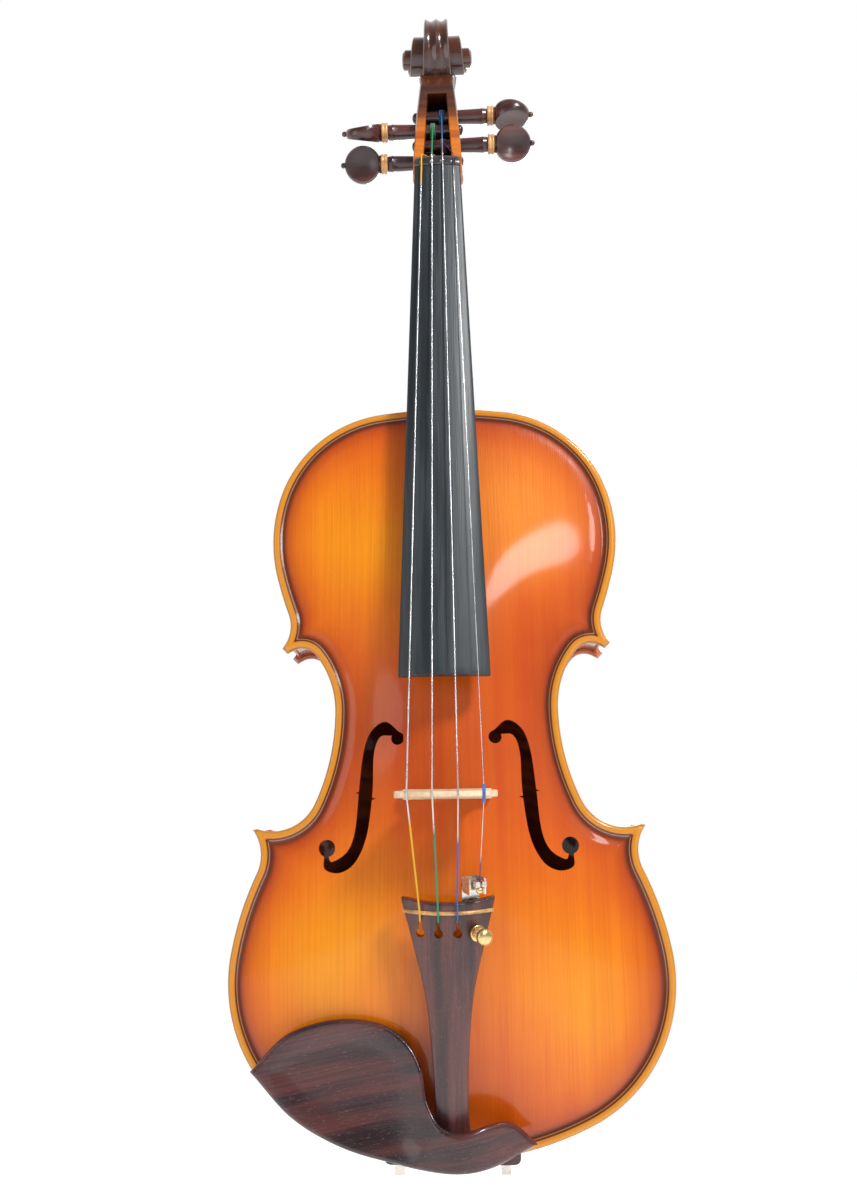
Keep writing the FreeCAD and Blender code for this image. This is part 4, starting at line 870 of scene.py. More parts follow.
neck_maple, tree, shader, place = new_material(
    "neck_maple", Roughness=0.34, Coat_Weight=0.8, Coat_Roughness=0.10, Specular_IOR_Level=0.35)
x, y, z = add_node(tree, "ShaderNodeSeparateXYZ", {0: place}).outputs
bands = flame(tree, sums(tree, "MULTIPLY_ADD", y, 0.35, z), y, 7.0)
lines, streaks, pores = grain(tree, place, 800.0, 16.0)[:3]
colour = blend_colours(tree, bands, (0.36, 0.070, 0.005, 1), (0.62, 0.17, 0.010, 1))
oiled = blend_colours(tree, bands, (0.46, 0.19, 0.055, 1), (0.70, 0.34, 0.11, 1))
bare = attribute(tree, "bare")
colour = blend_colours(tree, bare, colour, oiled)
# near-black brown over the scroll, and inside the pegbox's slot as painted shade
deep = blend_colours(tree, bands, (0.020, 0.0045, 0.003, 1), (0.060, 0.012, 0.005, 1))
colour = blend_colours(tree, attribute(tree, "dark"), colour, deep)
colour = blend_colours(tree, sums(tree, "MULTIPLY", pores, 0.4), colour, (0.10, 0.02, 0.005, 1))
tree.links.new(colour, shader.inputs["Base Color"])
worn = add_node(tree, "ShaderNodeTexNoise", {"Vector": place, "Scale": 60.0, "Detail": 3.0}).outputs[0]
tree.links.new(sums(tree, "MULTIPLY_ADD", bare, 0.12, sums(tree, "MULTIPLY_ADD", worn, 0.2, 0.2)),
               shader.inputs["Roughness"])
tree.links.new(sums(tree, "MULTIPLY_ADD", bare, -0.6, 0.85), shader.inputs["Coat Weight"])
bump(tree, shader, sums(tree, "ADD", lines, bands), 0.06, 0.0004)
neck.data.materials.append(neck_maple)
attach(neck, "body")
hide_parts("neck")


# ------------------------------------------------------------------ fingerboard and nut
# Ebony, arched to a 42 mm radius, glued on the neck and running free over the belly, scraped to a matt
# finish that the fingers rub glossy under the strings, with a painted sheen there. The nut is a block of
# the same wood with four grooves.
def board_row(z, lift=0.0, trim=0.0):
    half, side = board_half(z) - trim, board_side_y(z)
    under = side + 5.45 - trim
    hollow = 1.6 * (1 - smooth((z - 340.0) / 18.0))
    row = [(half, under), (half, side + 1.3)]
    row += [(half - 0.9 + 0.9 * math.cos(a), side + 0.75 - 0.85 * math.sin(a)) for a in (0.4, 0.9)]
    for x in np.linspace(half - 1.0, -half + 1.0, 27):
        row.append((x, crown_y(z) + 42.0 - math.sqrt(42.0 ** 2 - x * x) - lift + trim * 0.6))
    row += [(-half + 0.9 - 0.9 * math.cos(a), side + 0.75 - 0.85 * math.sin(a)) for a in (0.9, 0.4)]
    row += [(-half, side + 1.3), (-half, under)]
    row += [(half * u, under - hollow * (1 - u * u)) for u in np.linspace(-0.8, 0.8, 7)]
    return [(x, y, z) for x, y in row]


board_rows = [board_row(222.0, trim=0.7), board_row(222.3, trim=0.2), board_row(222.9)]
board_rows += [board_row(z) for z in np.linspace(226, 493.9, 46)]
board = lofted("fingerboard_visual", [board_rows])

ebony, tree, shader, place = new_material("ebony", Roughness=0.42, Specular_IOR_Level=0.5,
                                          Coat_Roughness=0.25)
lines, streaks, pores = grain(tree, place, 1500.0, 12.0)[:3]
x, y, z = add_node(tree, "ShaderNodeSeparateXYZ", {0: place}).outputs
# the four tracks under the strings spread from the nut to the free end of the board
spread = sums(tree, "MULTIPLY_ADD", z, -0.0221, 0.01922)
across = sums(tree, "DIVIDE", x, spread)
track = add_node(tree, "ShaderNodeTexNoise", {"Vector": place, "Scale": 130.0, "Detail": 2.0}).outputs[0]
polish_and_sheen = None
for place_across in (-1.0, -0.335, 0.335, 1.0):
    off = sums(tree, "ABSOLUTE", sums(tree, "SUBTRACT", across, place_across))
    near = stretch(tree, 0.16, 0.02, off)
    polish_and_sheen = near if polish_and_sheen is None else sums(tree, "MAXIMUM", polish_and_sheen, near)
polish_and_sheen = sums(tree, "MULTIPLY", polish_and_sheen, sums(tree, "MULTIPLY_ADD", track, 0.7, 0.3))
colour = ramp(tree, streaks, (0.0, (0.010, 0.015, 0.019)), (0.6, (0.017, 0.024, 0.030)),
              (1.0, (0.030, 0.037, 0.043)))
colour = blend_colours(tree, sums(tree, "MULTIPLY", lines, 0.35), colour, (0.007, 0.010, 0.012, 1))
# the tracks are glossier, and their lighter bluish grey is a painted sheen
colour = blend_colours(tree, sums(tree, "MULTIPLY", polish_and_sheen, 0.35), colour, (0.055, 0.068, 0.078, 1))
tree.links.new(colour, shader.inputs["Base Color"])
tree.links.new(sums(tree, "MULTIPLY_ADD", polish_and_sheen, -0.14, sums(tree, "MULTIPLY_ADD", streaks, 0.1, 0.42)),
               shader.inputs["Roughness"])
bump(tree, shader, sums(tree, "SUBTRACT", lines, pores), 0.12, 0.0003)
board.data.materials.append(ebony)
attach(board, "body")
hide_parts("fingerboard")

STRINGS = [
    ("g", 0.80, -8.3, -17.1, 505.0, -7.6, -1, -25.0, -2.8),
    ("d", 0.78, -2.8, -5.7, 526.5, -3.2, -1, 58.0, -2.6),
    ("a", 0.70, 2.8, 5.7, 536.5, -0.1, 1, 85.0, 2.2), ("e", 0.40, 8.3, 17.1, 515.7, -5.9, 1, 25.0, 3.0)]
nut_rows = []
nut_x = np.unique(np.concatenate([np.linspace(-11.9, 11.9, 49)] + [np.linspace(s[2] - 0.9, s[2] + 0.9, 13)
    for s in STRINGS]))
for x in nut_x:
    low = board_side_y(494.0) + 5.4
    top = crown_y(494.0) + 42.0 - math.sqrt(42.0 ** 2 - x * x) - 0.9
    for string in STRINGS:
        top += 0.55 * math.exp(-((x - string[2]) / (0.35 + string[1] * 0.35)) ** 2)
    ends = 0.5 * max(0.0, abs(x) - 11.2) ** 2
    profile = [(494.03, low), (494.03, top + 0.7), (494.5, top + 0.15), (495.4, top + ends),
               (497.4, top + 0.35 + ends),
               (499.2, top + 1.1 + ends), (499.9, top + 2.0), (500.0, top + 3.0), (500.0, low)]
    nut_rows.append([(x, y, z) for z, y in profile])
nut = lofted("nut_visual", [nut_rows], angle=50.0)
polished_ebony, tree, shader, place = new_material(
    "polished_ebony", Roughness=0.24, Coat_Weight=0.5, Coat_Roughness=0.15)
lines, streaks, pores = grain(tree, place, 1800.0, 200.0)[:3]
colour = ramp(tree, streaks, (0.0, (0.014, 0.014, 0.016)), (1.0, (0.045, 0.042, 0.042)))
tree.links.new(colour, shader.inputs["Base Color"])
bump(tree, shader, lines, 0.08, 0.0002)
nut.data.materials.append(polished_ebony)
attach(nut, "body")
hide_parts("nut")


# ------------------------------------------------------------------ pegs
# Four rosewood pegs, turned to a taper of 1:30, each with a boxwood collar, a flat round head whose
# two faces are hollowed for the thumb, and a pip at its tip. The string winds round the shank in the box.
def turned_rows(profile, sides=28):
    """Rows for lofted() from (x, radius) of a piece turned about the X axis."""
    return [[(x, r * math.cos(2 * math.pi * k / sides), r * math.sin(2 * math.pi * k / sides))
             for k in range(sides)]
            for x, r in profile]


def peg_head_rows():
    """Rings that run over the rim of the head from the middle of one face to that of the other."""
    rows = []
    steps = [(0.6, 1), (3.0, 1), (5.5, 1), (7.5, 1), (8.7, 1), (9.3, 0.84), (9.7, 0.5), (9.88, 0.0),
             (9.7, -0.5), (9.3, -0.84), (8.7, -1), (7.5, -1), (5.5, -1), (3.0, -1), (0.6, -1)]
    for rho, level in steps:
        row = []
        for k in range(44):
            a = 2 * math.pi * k / 44
            # the disc is drawn out a little towards its tip
            along = rho * math.cos(a) * (1.0 + 0.02 * max(0.0, math.cos(a)) ** 6)
            thick = 4.9 - 2.7 * (along + 9.8) / 20.8
            dish = 0.60 + 0.40 * smooth((rho - 1.0) / 8.0) if abs(level) == 1 else 0.9
            row.append((40.3 + along, level * thick * dish, rho * math.sin(a)))
        rows.append(row)
    return rows


def set_peg(points, turned, side, y, z):
    """From the peg's own frame to its place in the pegbox."""
    c, s = math.cos(math.radians(turned)), math.sin(math.radians(turned))
    p = np.asarray(points, float)
    out = np.stack([p[..., 0], p[..., 1] * c - p[..., 2] * s, p[..., 1] * s + p[..., 2] * c], -1)
    if side < 0:
        out[..., :2] *= -1
    return out + (0, y, z)


def start_growth(name, numbers, counts=()):
    """An empty geometry node tree whose inputs are named sizes and counts, and a material."""
    tree = bpy.data.node_groups.new(name, "GeometryNodeTree")
    sockets = tree.interface
    sockets.new_socket("Geometry", in_out="INPUT", socket_type="NodeSocketGeometry")
    for kind, named in (("NodeSocketFloat", numbers), ("NodeSocketInt", counts)):
        for label, value in named:
            sockets.new_socket(label, in_out="INPUT", socket_type=kind).default_value = value
    sockets.new_socket("Material", in_out="INPUT", socket_type="NodeSocketMaterial")
    sockets.new_socket("Geometry", in_out="OUTPUT", socket_type="NodeSocketGeometry")
    return tree, add_node(tree, "NodeGroupInput").outputs


def finish_growth(tree, shape, given):
    """Makes the tree's shape real, gives it its material and sends it out."""
    real = add_node(tree, "GeometryNodeRealizeInstances", {0: shape}).outputs[0]
    painted = add_node(tree, "GeometryNodeSetMaterial", {"Geometry": real, "Material": given["Material"]})
    tree.links.new(painted.outputs[0], add_node(tree, "NodeGroupOutput").inputs[0])
    return tree


def winding_maker():
    """Geometry nodes: turns of string wound side by side round the Z axis."""
    tree, given = start_growth("wound_turns", (
        ("Radius", 0.0042), ("Thickness", 0.0008), ("Turns", 4.0), ("Width", 0.0034)))
    half = sums(tree, "MULTIPLY", given["Thickness"], 0.5)
    spiral = add_node(tree, "GeometryNodeCurveSpiral", {
        "Resolution": 30, "Rotations": given["Turns"], "Start Radius": given["Radius"],
        "End Radius": given["Radius"], "Height": given["Width"]}).outputs[0]
    ring = add_node(tree, "GeometryNodeCurvePrimitiveCircle", {"Resolution": 7, "Radius": half}).outputs[0]
    tube = add_node(tree, "GeometryNodeCurveToMesh",
                    {"Curve": spiral, "Profile Curve": ring, "Fill Caps": True})
    return finish_growth(tree, tube.outputs[0], given)


def grown(name, tree, values, points=((0, 0, 0),), edges=()):
    """The mesh that a geometry node tree makes from a few points, as a plain object."""
    seed = bpy.data.meshes.new(name + "_seed")
    seed.from_pydata([tuple(np.array(p) * 0.001) for p in points], list(edges), [])
    holder = bpy.data.objects.new(name + "_seed", seed)
    bpy.context.scene.collection.objects.link(holder)
    modifier = holder.modifiers.new("grow", "NODES")
    modifier.node_group = tree
    for item in tree.interface.items_tree:
        if item.item_type == "SOCKET" and item.in_out == "INPUT" and item.name in values:
            modifier[item.identifier] = values[item.name]
    bpy.context.view_layer.update()
    evaluated = holder.evaluated_get(bpy.context.evaluated_depsgraph_get())
    mesh = bpy.data.meshes.new_from_object(evaluated)
    mesh.name = name
    bpy.data.objects.remove(holder)
    mesh.shade_smooth()
    piece = bpy.data.objects.new(name, mesh)
    bpy.context.scene.collection.objects.link(piece)
    return piece


def move_points(piece, places):
    """Puts the mesh's points at new places in millimetres."""
    piece.data.vertices.foreach_set("co", (places / 1000).astype(np.float32).ravel())
    piece.data.update()


rosewood, tree, shader, place = new_material(
    "rosewood", Roughness=0.30, Coat_Weight=0.45, Coat_Roughness=0.16, Specular_IOR_Level=0.45)
x, y, z = add_node(tree, "ShaderNodeSeparateXYZ", {0: place}).outputs
lengthwise = add_node(tree, "ShaderNodeCombineXYZ", {0: z, 1: y, 2: x}).outputs[0]
lines, streaks, pores = grain(tree, lengthwise, 1100.0, 14.0)[:3]
colour = ramp(tree, streaks, (0.0, (0.022, 0.006, 0.007)), (0.5, (0.050, 0.014, 0.014)),
              (1.0, (0.105, 0.028, 0.022)))
colour = blend_colours(tree, sums(tree, "MULTIPLY", lines, 0.45), colour, (0.018, 0.006, 0.006, 1))
tree.links.new(colour, shader.inputs["Base Color"])
bump(tree, shader, sums(tree, "SUBTRACT", lines, sums(tree, "MULTIPLY", pores, 2.0)), 0.10, 0.0003)

boxwood, tree, shader, place = new_material("boxwood", Roughness=0.36, Coat_Weight=0.4, Coat_Roughness=0.2)
lines, streaks, pores = grain(tree, place, 1500.0, 300.0)[:3]
colour = ramp(tree, streaks, (0.0, (0.42, 0.19, 0.055)), (1.0, (0.66, 0.36, 0.13)))
colour = blend_colours(tree, sums(tree, "MULTIPLY", lines, 0.3), colour, (0.28, 0.12, 0.035, 1))
tree.links.new(colour, shader.inputs["Base Color"])
bump(tree, shader, lines, 0.08, 0.0002)

SILKS = {"g": (0.80, 0.42, 0.02), "d": (0.03, 0.27, 0.12), "a": (0.02, 0.14, 0.42), "e": (0.10, 0.03, 0.12)}
silk_paint = {}
for key, hue in SILKS.items():
    silk_paint[key], tree, shader, place = new_material("silk_" + key, Roughness=0.6, Sheen_Weight=0.3)
    weave = add_node(tree, "ShaderNodeTexNoise",
                     {"Vector": place, "Scale": 2600.0, "Detail": 1.0}).outputs[0]
    dusk = tuple(c * 0.45 for c in hue)
    tree.links.new(ramp(tree, weave, (0.3, dusk), (0.7, hue)), shader.inputs["Base Color"])
    bump(tree, shader, weave, 0.3, 0.0001)

WOUND_WIDTH = 3.4
wound_turns = winding_maker()
for key, thick, x_nut, x_bridge, z, y, side, turned, x_wind in STRINGS:
    shank = [(-13.9, 0.5), (-13.6, 1.7), (-12.9, 2.6), (-12.2, 2.87)]
    shank += [(u, 3.7 + (u - 12.0) / 30.0) for u in np.linspace(-11.5, 24.0, 10)]
    shank += [(24.4, 4.35), (24.9, 4.1), (26.6, 3.95), (27.02, 3.6), (30.4, 3.6), (30.5, 4.4), (30.9, 4.9),
              (31.5, 4.5),
              (32.6, 4.0), (34.0, 3.6), (38.0, 2.2)]
    pip = [(49.6, 0.9), (50.0, 1.2), (50.4, 1.45), (51.0, 1.5), (51.7, 1.3), (52.2, 0.8), (52.35, 0.3)]
    solids = [set_peg(turned_rows(shank), turned, side, y, z), set_peg(peg_head_rows(), turned, side, y, z),
              set_peg(turned_rows(pip, 18), turned, side, y, z)]
    peg = lofted("peg_" + key + "_visual", solids, angle=40.0)
    peg.data.materials.append(rosewood)
    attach(peg, "peg_" + key)
    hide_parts("peg_" + key)
    profile = [(27.0, 3.65), (27.0, 4.6), (27.25, 5.1), (27.8, 5.35), (28.5, 5.1), (28.8, 4.9), (29.2, 5.1),
               (29.8, 5.35),
               (30.3, 5.1), (30.5, 4.6), (30.5, 3.65)]
    collar = lofted("collar_" + key, [set_peg(turned_rows(profile), turned, side, y, z)], angle=60.0)
    collar.data.materials.append(boxwood)
    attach(collar, "peg_" + key)
    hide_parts("peg_collar_" + key)
    core = 3.7 + (x_wind * side - 12.0) / 30.0
    turns = grown("turns_" + key, wound_turns, {
        "Radius": (core + thick / 2) / 1000, "Thickness": thick / 1000, "Turns": WOUND_WIDTH / thick,
        "Width": (WOUND_WIDTH - thick) / 1000, "Material": silk_paint[key]})
    flat = mesh_points(turns)
    move_points(turns, np.stack([
        x_wind + flat[:, 2] - (WOUND_WIDTH - thick) / 2, y + flat[:, 0], z + flat[:, 1]], 1))
    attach(turns, "peg_" + key)
    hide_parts("winding_" + key)


# ------------------------------------------------------------------ strings
# A steel E string, and three strings wound with flat metal ribbon over a core. Each has coloured silk
# wrapped round its ends, and a small sleeve keeps the E string from cutting into the bridge.
TAIL_LOW = np.array((0, -24.0, 14.5))
LEAN = math.radians(9.4)
HOLES = (-12.4, -4.2, 4.2, 12.4)


def tail_place(p):
    """From the tailpiece's own frame, Z along it, to the violin's."""
    p = np.asarray(p, float)
    c, s = math.cos(LEAN), math.sin(LEAN)
    return np.stack([p[..., 0], p[..., 1] * c - p[..., 2] * s, p[..., 1] * s + p[..., 2] * c], -1) + TAIL_LOW


def tuner_place(p):
    """From the fine tuner's frame, square to the tailpiece at its fourth hole, to the violin's."""
    p = np.asarray(p, float)
    a = math.asin(12.4 / 32.0)
    c, s = math.cos(a), math.sin(a)
    x, y = p[..., 0], p[..., 1] - 32.0
    return tail_place(np.stack([x * c - y * s, x * s + y * c + 23.0, p[..., 2] + 95.5], -1))


def tail_top(x):
    return 23.0 - np.sqrt(32.0 ** 2 - np.minimum(np.abs(x), 31.0) ** 2)


def bridge_crown(x):
    return -64.0 + 42.0 - math.sqrt(42.0 ** 2 - x * x)


def string_path(key, thick, x_nut, x_bridge, z, y, side, turned, x_wind):
    top = crown_y(494.0) + 42.0 - math.sqrt(42.0 ** 2 - x_nut ** 2) - 0.9 - thick / 2 + 0.35
    slope = -28.3 / 272.0 * 1.25
    path = [(x_wind, y - 4.6 - thick / 2 - 0.25, z - 0.6), (x_nut, top - slope * 6.6, 500.6),
            (x_nut, top + slope * 0.3, 493.7), (x_bridge, bridge_crown(x_bridge) - thick / 2 - 0.05, 167.8)]
    if key == "e":
        return path + [tuple(tuner_place((0, -4.6, 21.9)))]
    hole = HOLES["gda".index(key)]
    return path + [tuple(tail_place((hole, tail_top(hole) - 1.4 - thick / 2, 104.5))),
                   tuple(tail_place((hole, tail_top(hole) - 0.3, 100.6))),
                   tuple(tail_place((hole, 23.0 - math.sqrt(27.0 ** 2 - hole ** 2) + 1.9, 100.2)))]


def cord_maker():
    """Geometry nodes: a round cord along the given edges, thicker where its ends are wrapped."""
    tree, given = start_growth("cord", (
        ("Radius", 0.0004), ("Wrap start", 0.0), ("Wrap end", 9.0), ("Wrap growth", 0.0)), (("Sides", 10),))
    curve = add_node(tree, "GeometryNodeMeshToCurve", {0: given["Geometry"]}).outputs[0]
    length = add_node(tree, "GeometryNodeSplineParameter").outputs["Length"]
    at_start = sums(tree, "LESS_THAN", length, given["Wrap start"])
    at_end = sums(tree, "GREATER_THAN", length, given["Wrap end"])
    wrapped = sums(tree, "MAXIMUM", at_start, at_end)
    stored = curve
    for label, value in (("run", length), ("wrap", wrapped)):
        stored = add_node(tree, "GeometryNodeStoreNamedAttribute", {
            "Geometry": stored, "Name": label, "Value": value}, data_type="FLOAT", domain="POINT").outputs[0]
    scale = sums(tree, "MULTIPLY_ADD", wrapped, given["Wrap growth"], 1.0)
    ring = add_node(tree, "GeometryNodeCurvePrimitiveCircle",
                    {"Resolution": given["Sides"], "Radius": given["Radius"]}).outputs[0]
    tube = add_node(tree, "GeometryNodeCurveToMesh",
                    {"Curve": stored, "Profile Curve": ring, "Scale": scale, "Fill Caps": True})
    return finish_growth(tree, tube.outputs[0], given)


def dense(path, step=4.0, turn=1.2):
    """The path with short steps and rounded bends."""
    path = [np.array(p, float) for p in path]
    made = [path[0]]
    for a, b, c in zip(path, path[1:], path[2:]):
        reach = min(turn, np.linalg.norm(b - a) * 0.45, np.linalg.norm(c - b) * 0.45)
        p, q = b + (a - b) / np.linalg.norm(a - b) * reach, b + (c - b) / np.linalg.norm(c - b) * reach
        for t in (0.0, 0.25, 0.5, 0.75, 1.0):
            made.append((1 - t) ** 2 * p + 2 * t * (1 - t) * b + t * t * q)
    made.append(path[-1])
    full = [made[0]]
    for a, b in zip(made, made[1:]):
        count = max(1, int(np.linalg.norm(b - a) / step))
        full += [a + (b - a) * k / count for k in range(1, count + 1)]
    return full


cord = cord_maker()
for string in STRINGS:
    key, thick = string[0], string[1]
    path = string_path(*string)
    line = dense(path, turn=0.5 if key == "e" else 1.0)
    after_bridge = sum(np.linalg.norm(np.subtract(b, a)) for a, b in zip(path[:3], path[1:4]))
    wrap_end = after_bridge + {"g": 12.0, "d": 16.0, "a": 22.0, "e": 30.0}[key]
    hue = SILKS[key]
    paint, tree, shader, place = new_material("string_" + key, Metallic=1.0, Roughness=0.28)
    run, wrap = attribute(tree, "run"), attribute(tree, "wrap")
    ribs = add_node(tree, "ShaderNodeTexWave", {
        "Vector": add_node(tree, "ShaderNodeCombineXYZ", {0: run}).outputs[0], "Scale": 900.0}).outputs[1]
    tarnish = add_node(tree, "ShaderNodeTexNoise",
                       {"Vector": place, "Scale": 70.0, "Detail": 3.0}).outputs[0]
    metal = ramp(tree, tarnish, (0.35, (0.50, 0.50, 0.51)), (0.65, (0.78, 0.78, 0.80)))
    metal = blend_colours(tree, sums(tree, "MULTIPLY", ribs, 0.0 if key == "e" else 0.25), metal,
                          (0.25, 0.25, 0.26, 1))
    silk = blend_colours(tree, ribs, (*[c * 0.6 for c in hue], 1), (*hue, 1))
    tree.links.new(blend_colours(tree, wrap, metal, silk), shader.inputs["Base Color"])
    tree.links.new(sums(tree, "SUBTRACT", 1.0, wrap), shader.inputs["Metallic"])
    tree.links.new(sums(tree, "MULTIPLY_ADD", wrap, 0.35, sums(tree, "MULTIPLY_ADD", tarnish, 0.1, 0.22)),
                   shader.inputs["Roughness"])
    bump(tree, shader, ribs, 0.05 if key == "e" else 0.25, 0.0001)
    piece = grown("string_" + key + "_visual", cord, {
        "Radius": thick / 2000, "Wrap start": 0.030, "Wrap end": wrap_end / 1000, "Wrap growth": 0.14,
        "Sides": 10,
        "Material": paint}, line, [(i, i + 1) for i in range(len(line) - 1)])
    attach(piece, "body")
    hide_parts("string_" + key)

e_path = string_path(*STRINGS[3])
at = np.array(e_path[3])
above = at + (np.array(e_path[2]) - at) / np.linalg.norm(np.array(e_path[2]) - at) * 4.0
below = at + (np.array(e_path[4]) - at) / np.linalg.norm(np.array(e_path[4]) - at) * 4.0
sleeve_plastic, tree, shader, place = new_material("sleeve_plastic", Roughness=0.35, Coat_Weight=0.3)
mottle = add_node(tree, "ShaderNodeTexNoise", {"Vector": place, "Scale": 500.0}).outputs[0]
tree.links.new(ramp(tree, mottle, (0.3, (0.02, 0.08, 0.34)), (0.7, (0.05, 0.16, 0.50))),
               shader.inputs["Base Color"])
bump(tree, shader, mottle, 0.1, 0.0001)
sleeve_line = dense([above, at, below], 1.0)
sleeve = grown("string_sleeve", cord, {"Radius": 0.00074, "Sides": 14, "Material": sleeve_plastic},
               sleeve_line, [(i, i + 1) for i in range(len(sleeve_line) - 1)])
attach(sleeve, "body")
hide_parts("string_tube_e")


# ------------------------------------------------------------------ bridge
# Quarter-sawn maple, unvarnished, cut with two feet, a heart and two eyes, and planed thinner towards its
# crown. Only the pull of the strings holds it on the belly.
def belly_y(x, z):
    return -RIB_FACE - float(arch(np.array(float(x)), np.array(float(z)), BELLY_ARCH))


foot_low = [(x, -belly_y(x, 168.8)) for x in np.linspace(20.4, 8.6, 9)]
side_curve = through([(20.7, 32.2), (20.2, 33.5), (18.2, 34.6), (15.6, 35.8), (14.0, 37.6), (13.9, 39.8),
                      (15.2, 42.3),
                      (17.2, 44.6), (19.2, 47.6), (21.4, 50.4), (23.0, 52.4), (23.1, 55.0)], step=0.5)
crown_line = [(x, -bridge_crown(x)) for x in np.linspace(22.9, 0.0, 34)]
gap_line = [(9.2 * math.sin(a), 26.6 + 9.2 * math.cos(a)) for a in np.linspace(1.0, 0.0, 12)]
right_half = list(gap_line[::-1][:-1]) + [(8.2, 31.2)] + foot_low[::-1] + list(side_curve) + crown_line
bridge_rim = np.array(right_half + [(-x, h) for x, h in right_half[::-1][1:-1]])
heart = through([(0.0, 48.9), (1.2, 50.9), (2.7, 50.6), (3.0, 48.6), (1.7, 46.6), (0.9, 44.6), (0.0, 43.4),
                 (-0.9, 44.6),
                 (-1.7, 46.6), (-3.0, 48.6), (-2.7, 50.6), (-1.2, 50.9)], closed=True, step=0.4)
eyes = [through([(s * 13.2, 48.1), (s * 10.7, 46.8), (s * 10.3, 44.2), (s * 12.2, 42.4), (s * 14.6, 43.4),
                 (s * 14.9, 45.3), (s * 13.3, 45.2), (s * 12.9, 46.3)], closed=True, step=0.4)
        for s in (-1, 1)]


def rounded_edge(depth, radius):
    """How far a rounded edge falls back at a depth in from the rim."""
    return radius - radius * np.sqrt(np.maximum(0.0, 1 - np.maximum(0.0, 1 - depth / radius) ** 2))


def bridge_face(front):
    def face(x, h, d):
        thick = np.interp(h, [33.0, 64.0], [4.6, 2.4])
        round_off = rounded_edge(d, 0.45)
        return thick - round_off if front else round_off
    return face


bridge = carve("bridge_visual", bridge_rim, [heart] + eyes, bridge_face(True), bridge_face(False), 1.0,
               [0.1, 0.25, 0.45])
flat = mesh_points(bridge)
move_points(bridge, np.stack([flat[:, 0], -flat[:, 2], 166.5 + flat[:, 1]], 1))
bridge.data.flip_normals()
bridge_maple, tree, shader, place = new_material("bridge_maple", Roughness=0.48, Specular_IOR_Level=0.4)
x, y, z = add_node(tree, "ShaderNodeSeparateXYZ", {0: place}).outputs
sideways = add_node(tree, "ShaderNodeCombineXYZ", {0: y, 1: z, 2: x}).outputs[0]
lines, streaks, pores = grain(tree, sideways, 1600.0, 90.0)[:3]
flecks = add_node(tree, "ShaderNodeTexVoronoi", {"Vector": sideways, "Scale": 900.0}).outputs[0]
colour = ramp(tree, streaks, (0.0, (0.66, 0.50, 0.32)), (1.0, (0.82, 0.68, 0.48)))
colour = blend_colours(tree, sums(tree, "MULTIPLY", stretch(tree, 0.5, 0.2, flecks), 0.3), colour,
                       (0.50, 0.27, 0.10, 1))
colour = blend_colours(tree, sums(tree, "MULTIPLY", lines, 0.25), colour, (0.55, 0.32, 0.12, 1))
tree.links.new(colour, shader.inputs["Base Color"])
bump(tree, shader, lines, 0.12, 0.0002)
bridge.data.materials.append(bridge_maple)
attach(bridge, "body")
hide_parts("bridge")


# ------------------------------------------------------------------ tailpiece and its fret
# Rosewood, narrow with a ridge at its lower end, wide and arched at its upper end where a pale strip is let
# in for the strings to bend over. Three keyholes hold the strings and a round hole takes the fine tuner.
TAIL_WIDTHS = through([(-14, 11.5), (0, 9.2), (14, 7.7), (36, 7.8), (66, 10.4), (90, 15.9), (110, 21.2)],
                      step=2)


def tail_outer(x, z, d):
    ridge = 0.9 * np.exp(-np.abs(x) / 2.4) * (1 - smooth((z - 26.0) / 50.0))
    edge = rounded_edge(d, 0.9)
    return tail_top(x) + edge - ridge


def tail_inner(x, z, d):
    low = -2.5 + 5.5 * smooth((z - 20.0) / 90.0)
    hollow = 23.0 - np.sqrt(27.0 ** 2 - np.minimum(np.abs(x), 26.0) ** 2)
    open_part = smooth((z - 30.0) / 4.0)
    edge = rounded_edge(d, 0.5)
    return np.maximum(low + (np.minimum(low, hollow) - low) * open_part - edge, tail_outer(x, z, d) + 0.6)


up = np.linspace(1.0, 109.2, 90)
half_width = np.interp(up, TAIL_WIDTHS[:, 0], TAIL_WIDTHS[:, 1])
right_side = [(8.6, 0.2)] + [(w, v) for w, v in zip(half_width, up)] + [(20.9, 109.9)]
top_edge = [(x, 110.0 - 1.3 * (1 - (x / 20.5) ** 2)) for x in np.linspace(20.2, -20.2, 34)]
low_edge = [(x, 0.0) for x in np.linspace(-8.0, 8.0, 14)]
tail_rim = np.array(right_side + top_edge + [(-w, v) for w, v in right_side[::-1]] + low_edge)
tail_holes = []
for hole in HOLES[:3]:
    turn = np.linspace(math.radians(67), math.radians(-247), 26)
    loop = [(hole + 2.0 * math.cos(a), 95.5 + 2.0 * math.sin(a)) for a in turn]
    loop += [(hole - 0.75, 98.5), (hole - 0.75, 100.6), (hole - 0.4, 101.1), (hole + 0.4, 101.1),
             (hole + 0.75, 100.6),
             (hole + 0.75, 98.5)]
    tail_holes.append(np.array(loop[::-1]))
tail_holes.append(circle_points(HOLES[3], 95.5, 2.2))
tail = carve("tailpiece_visual", tail_rim, tail_holes, tail_outer, tail_inner, 1.3,
             [0.1, 0.3, 0.6, 0.95, 1.6])
move_points(tail, tail_place(mesh_points(tail)))

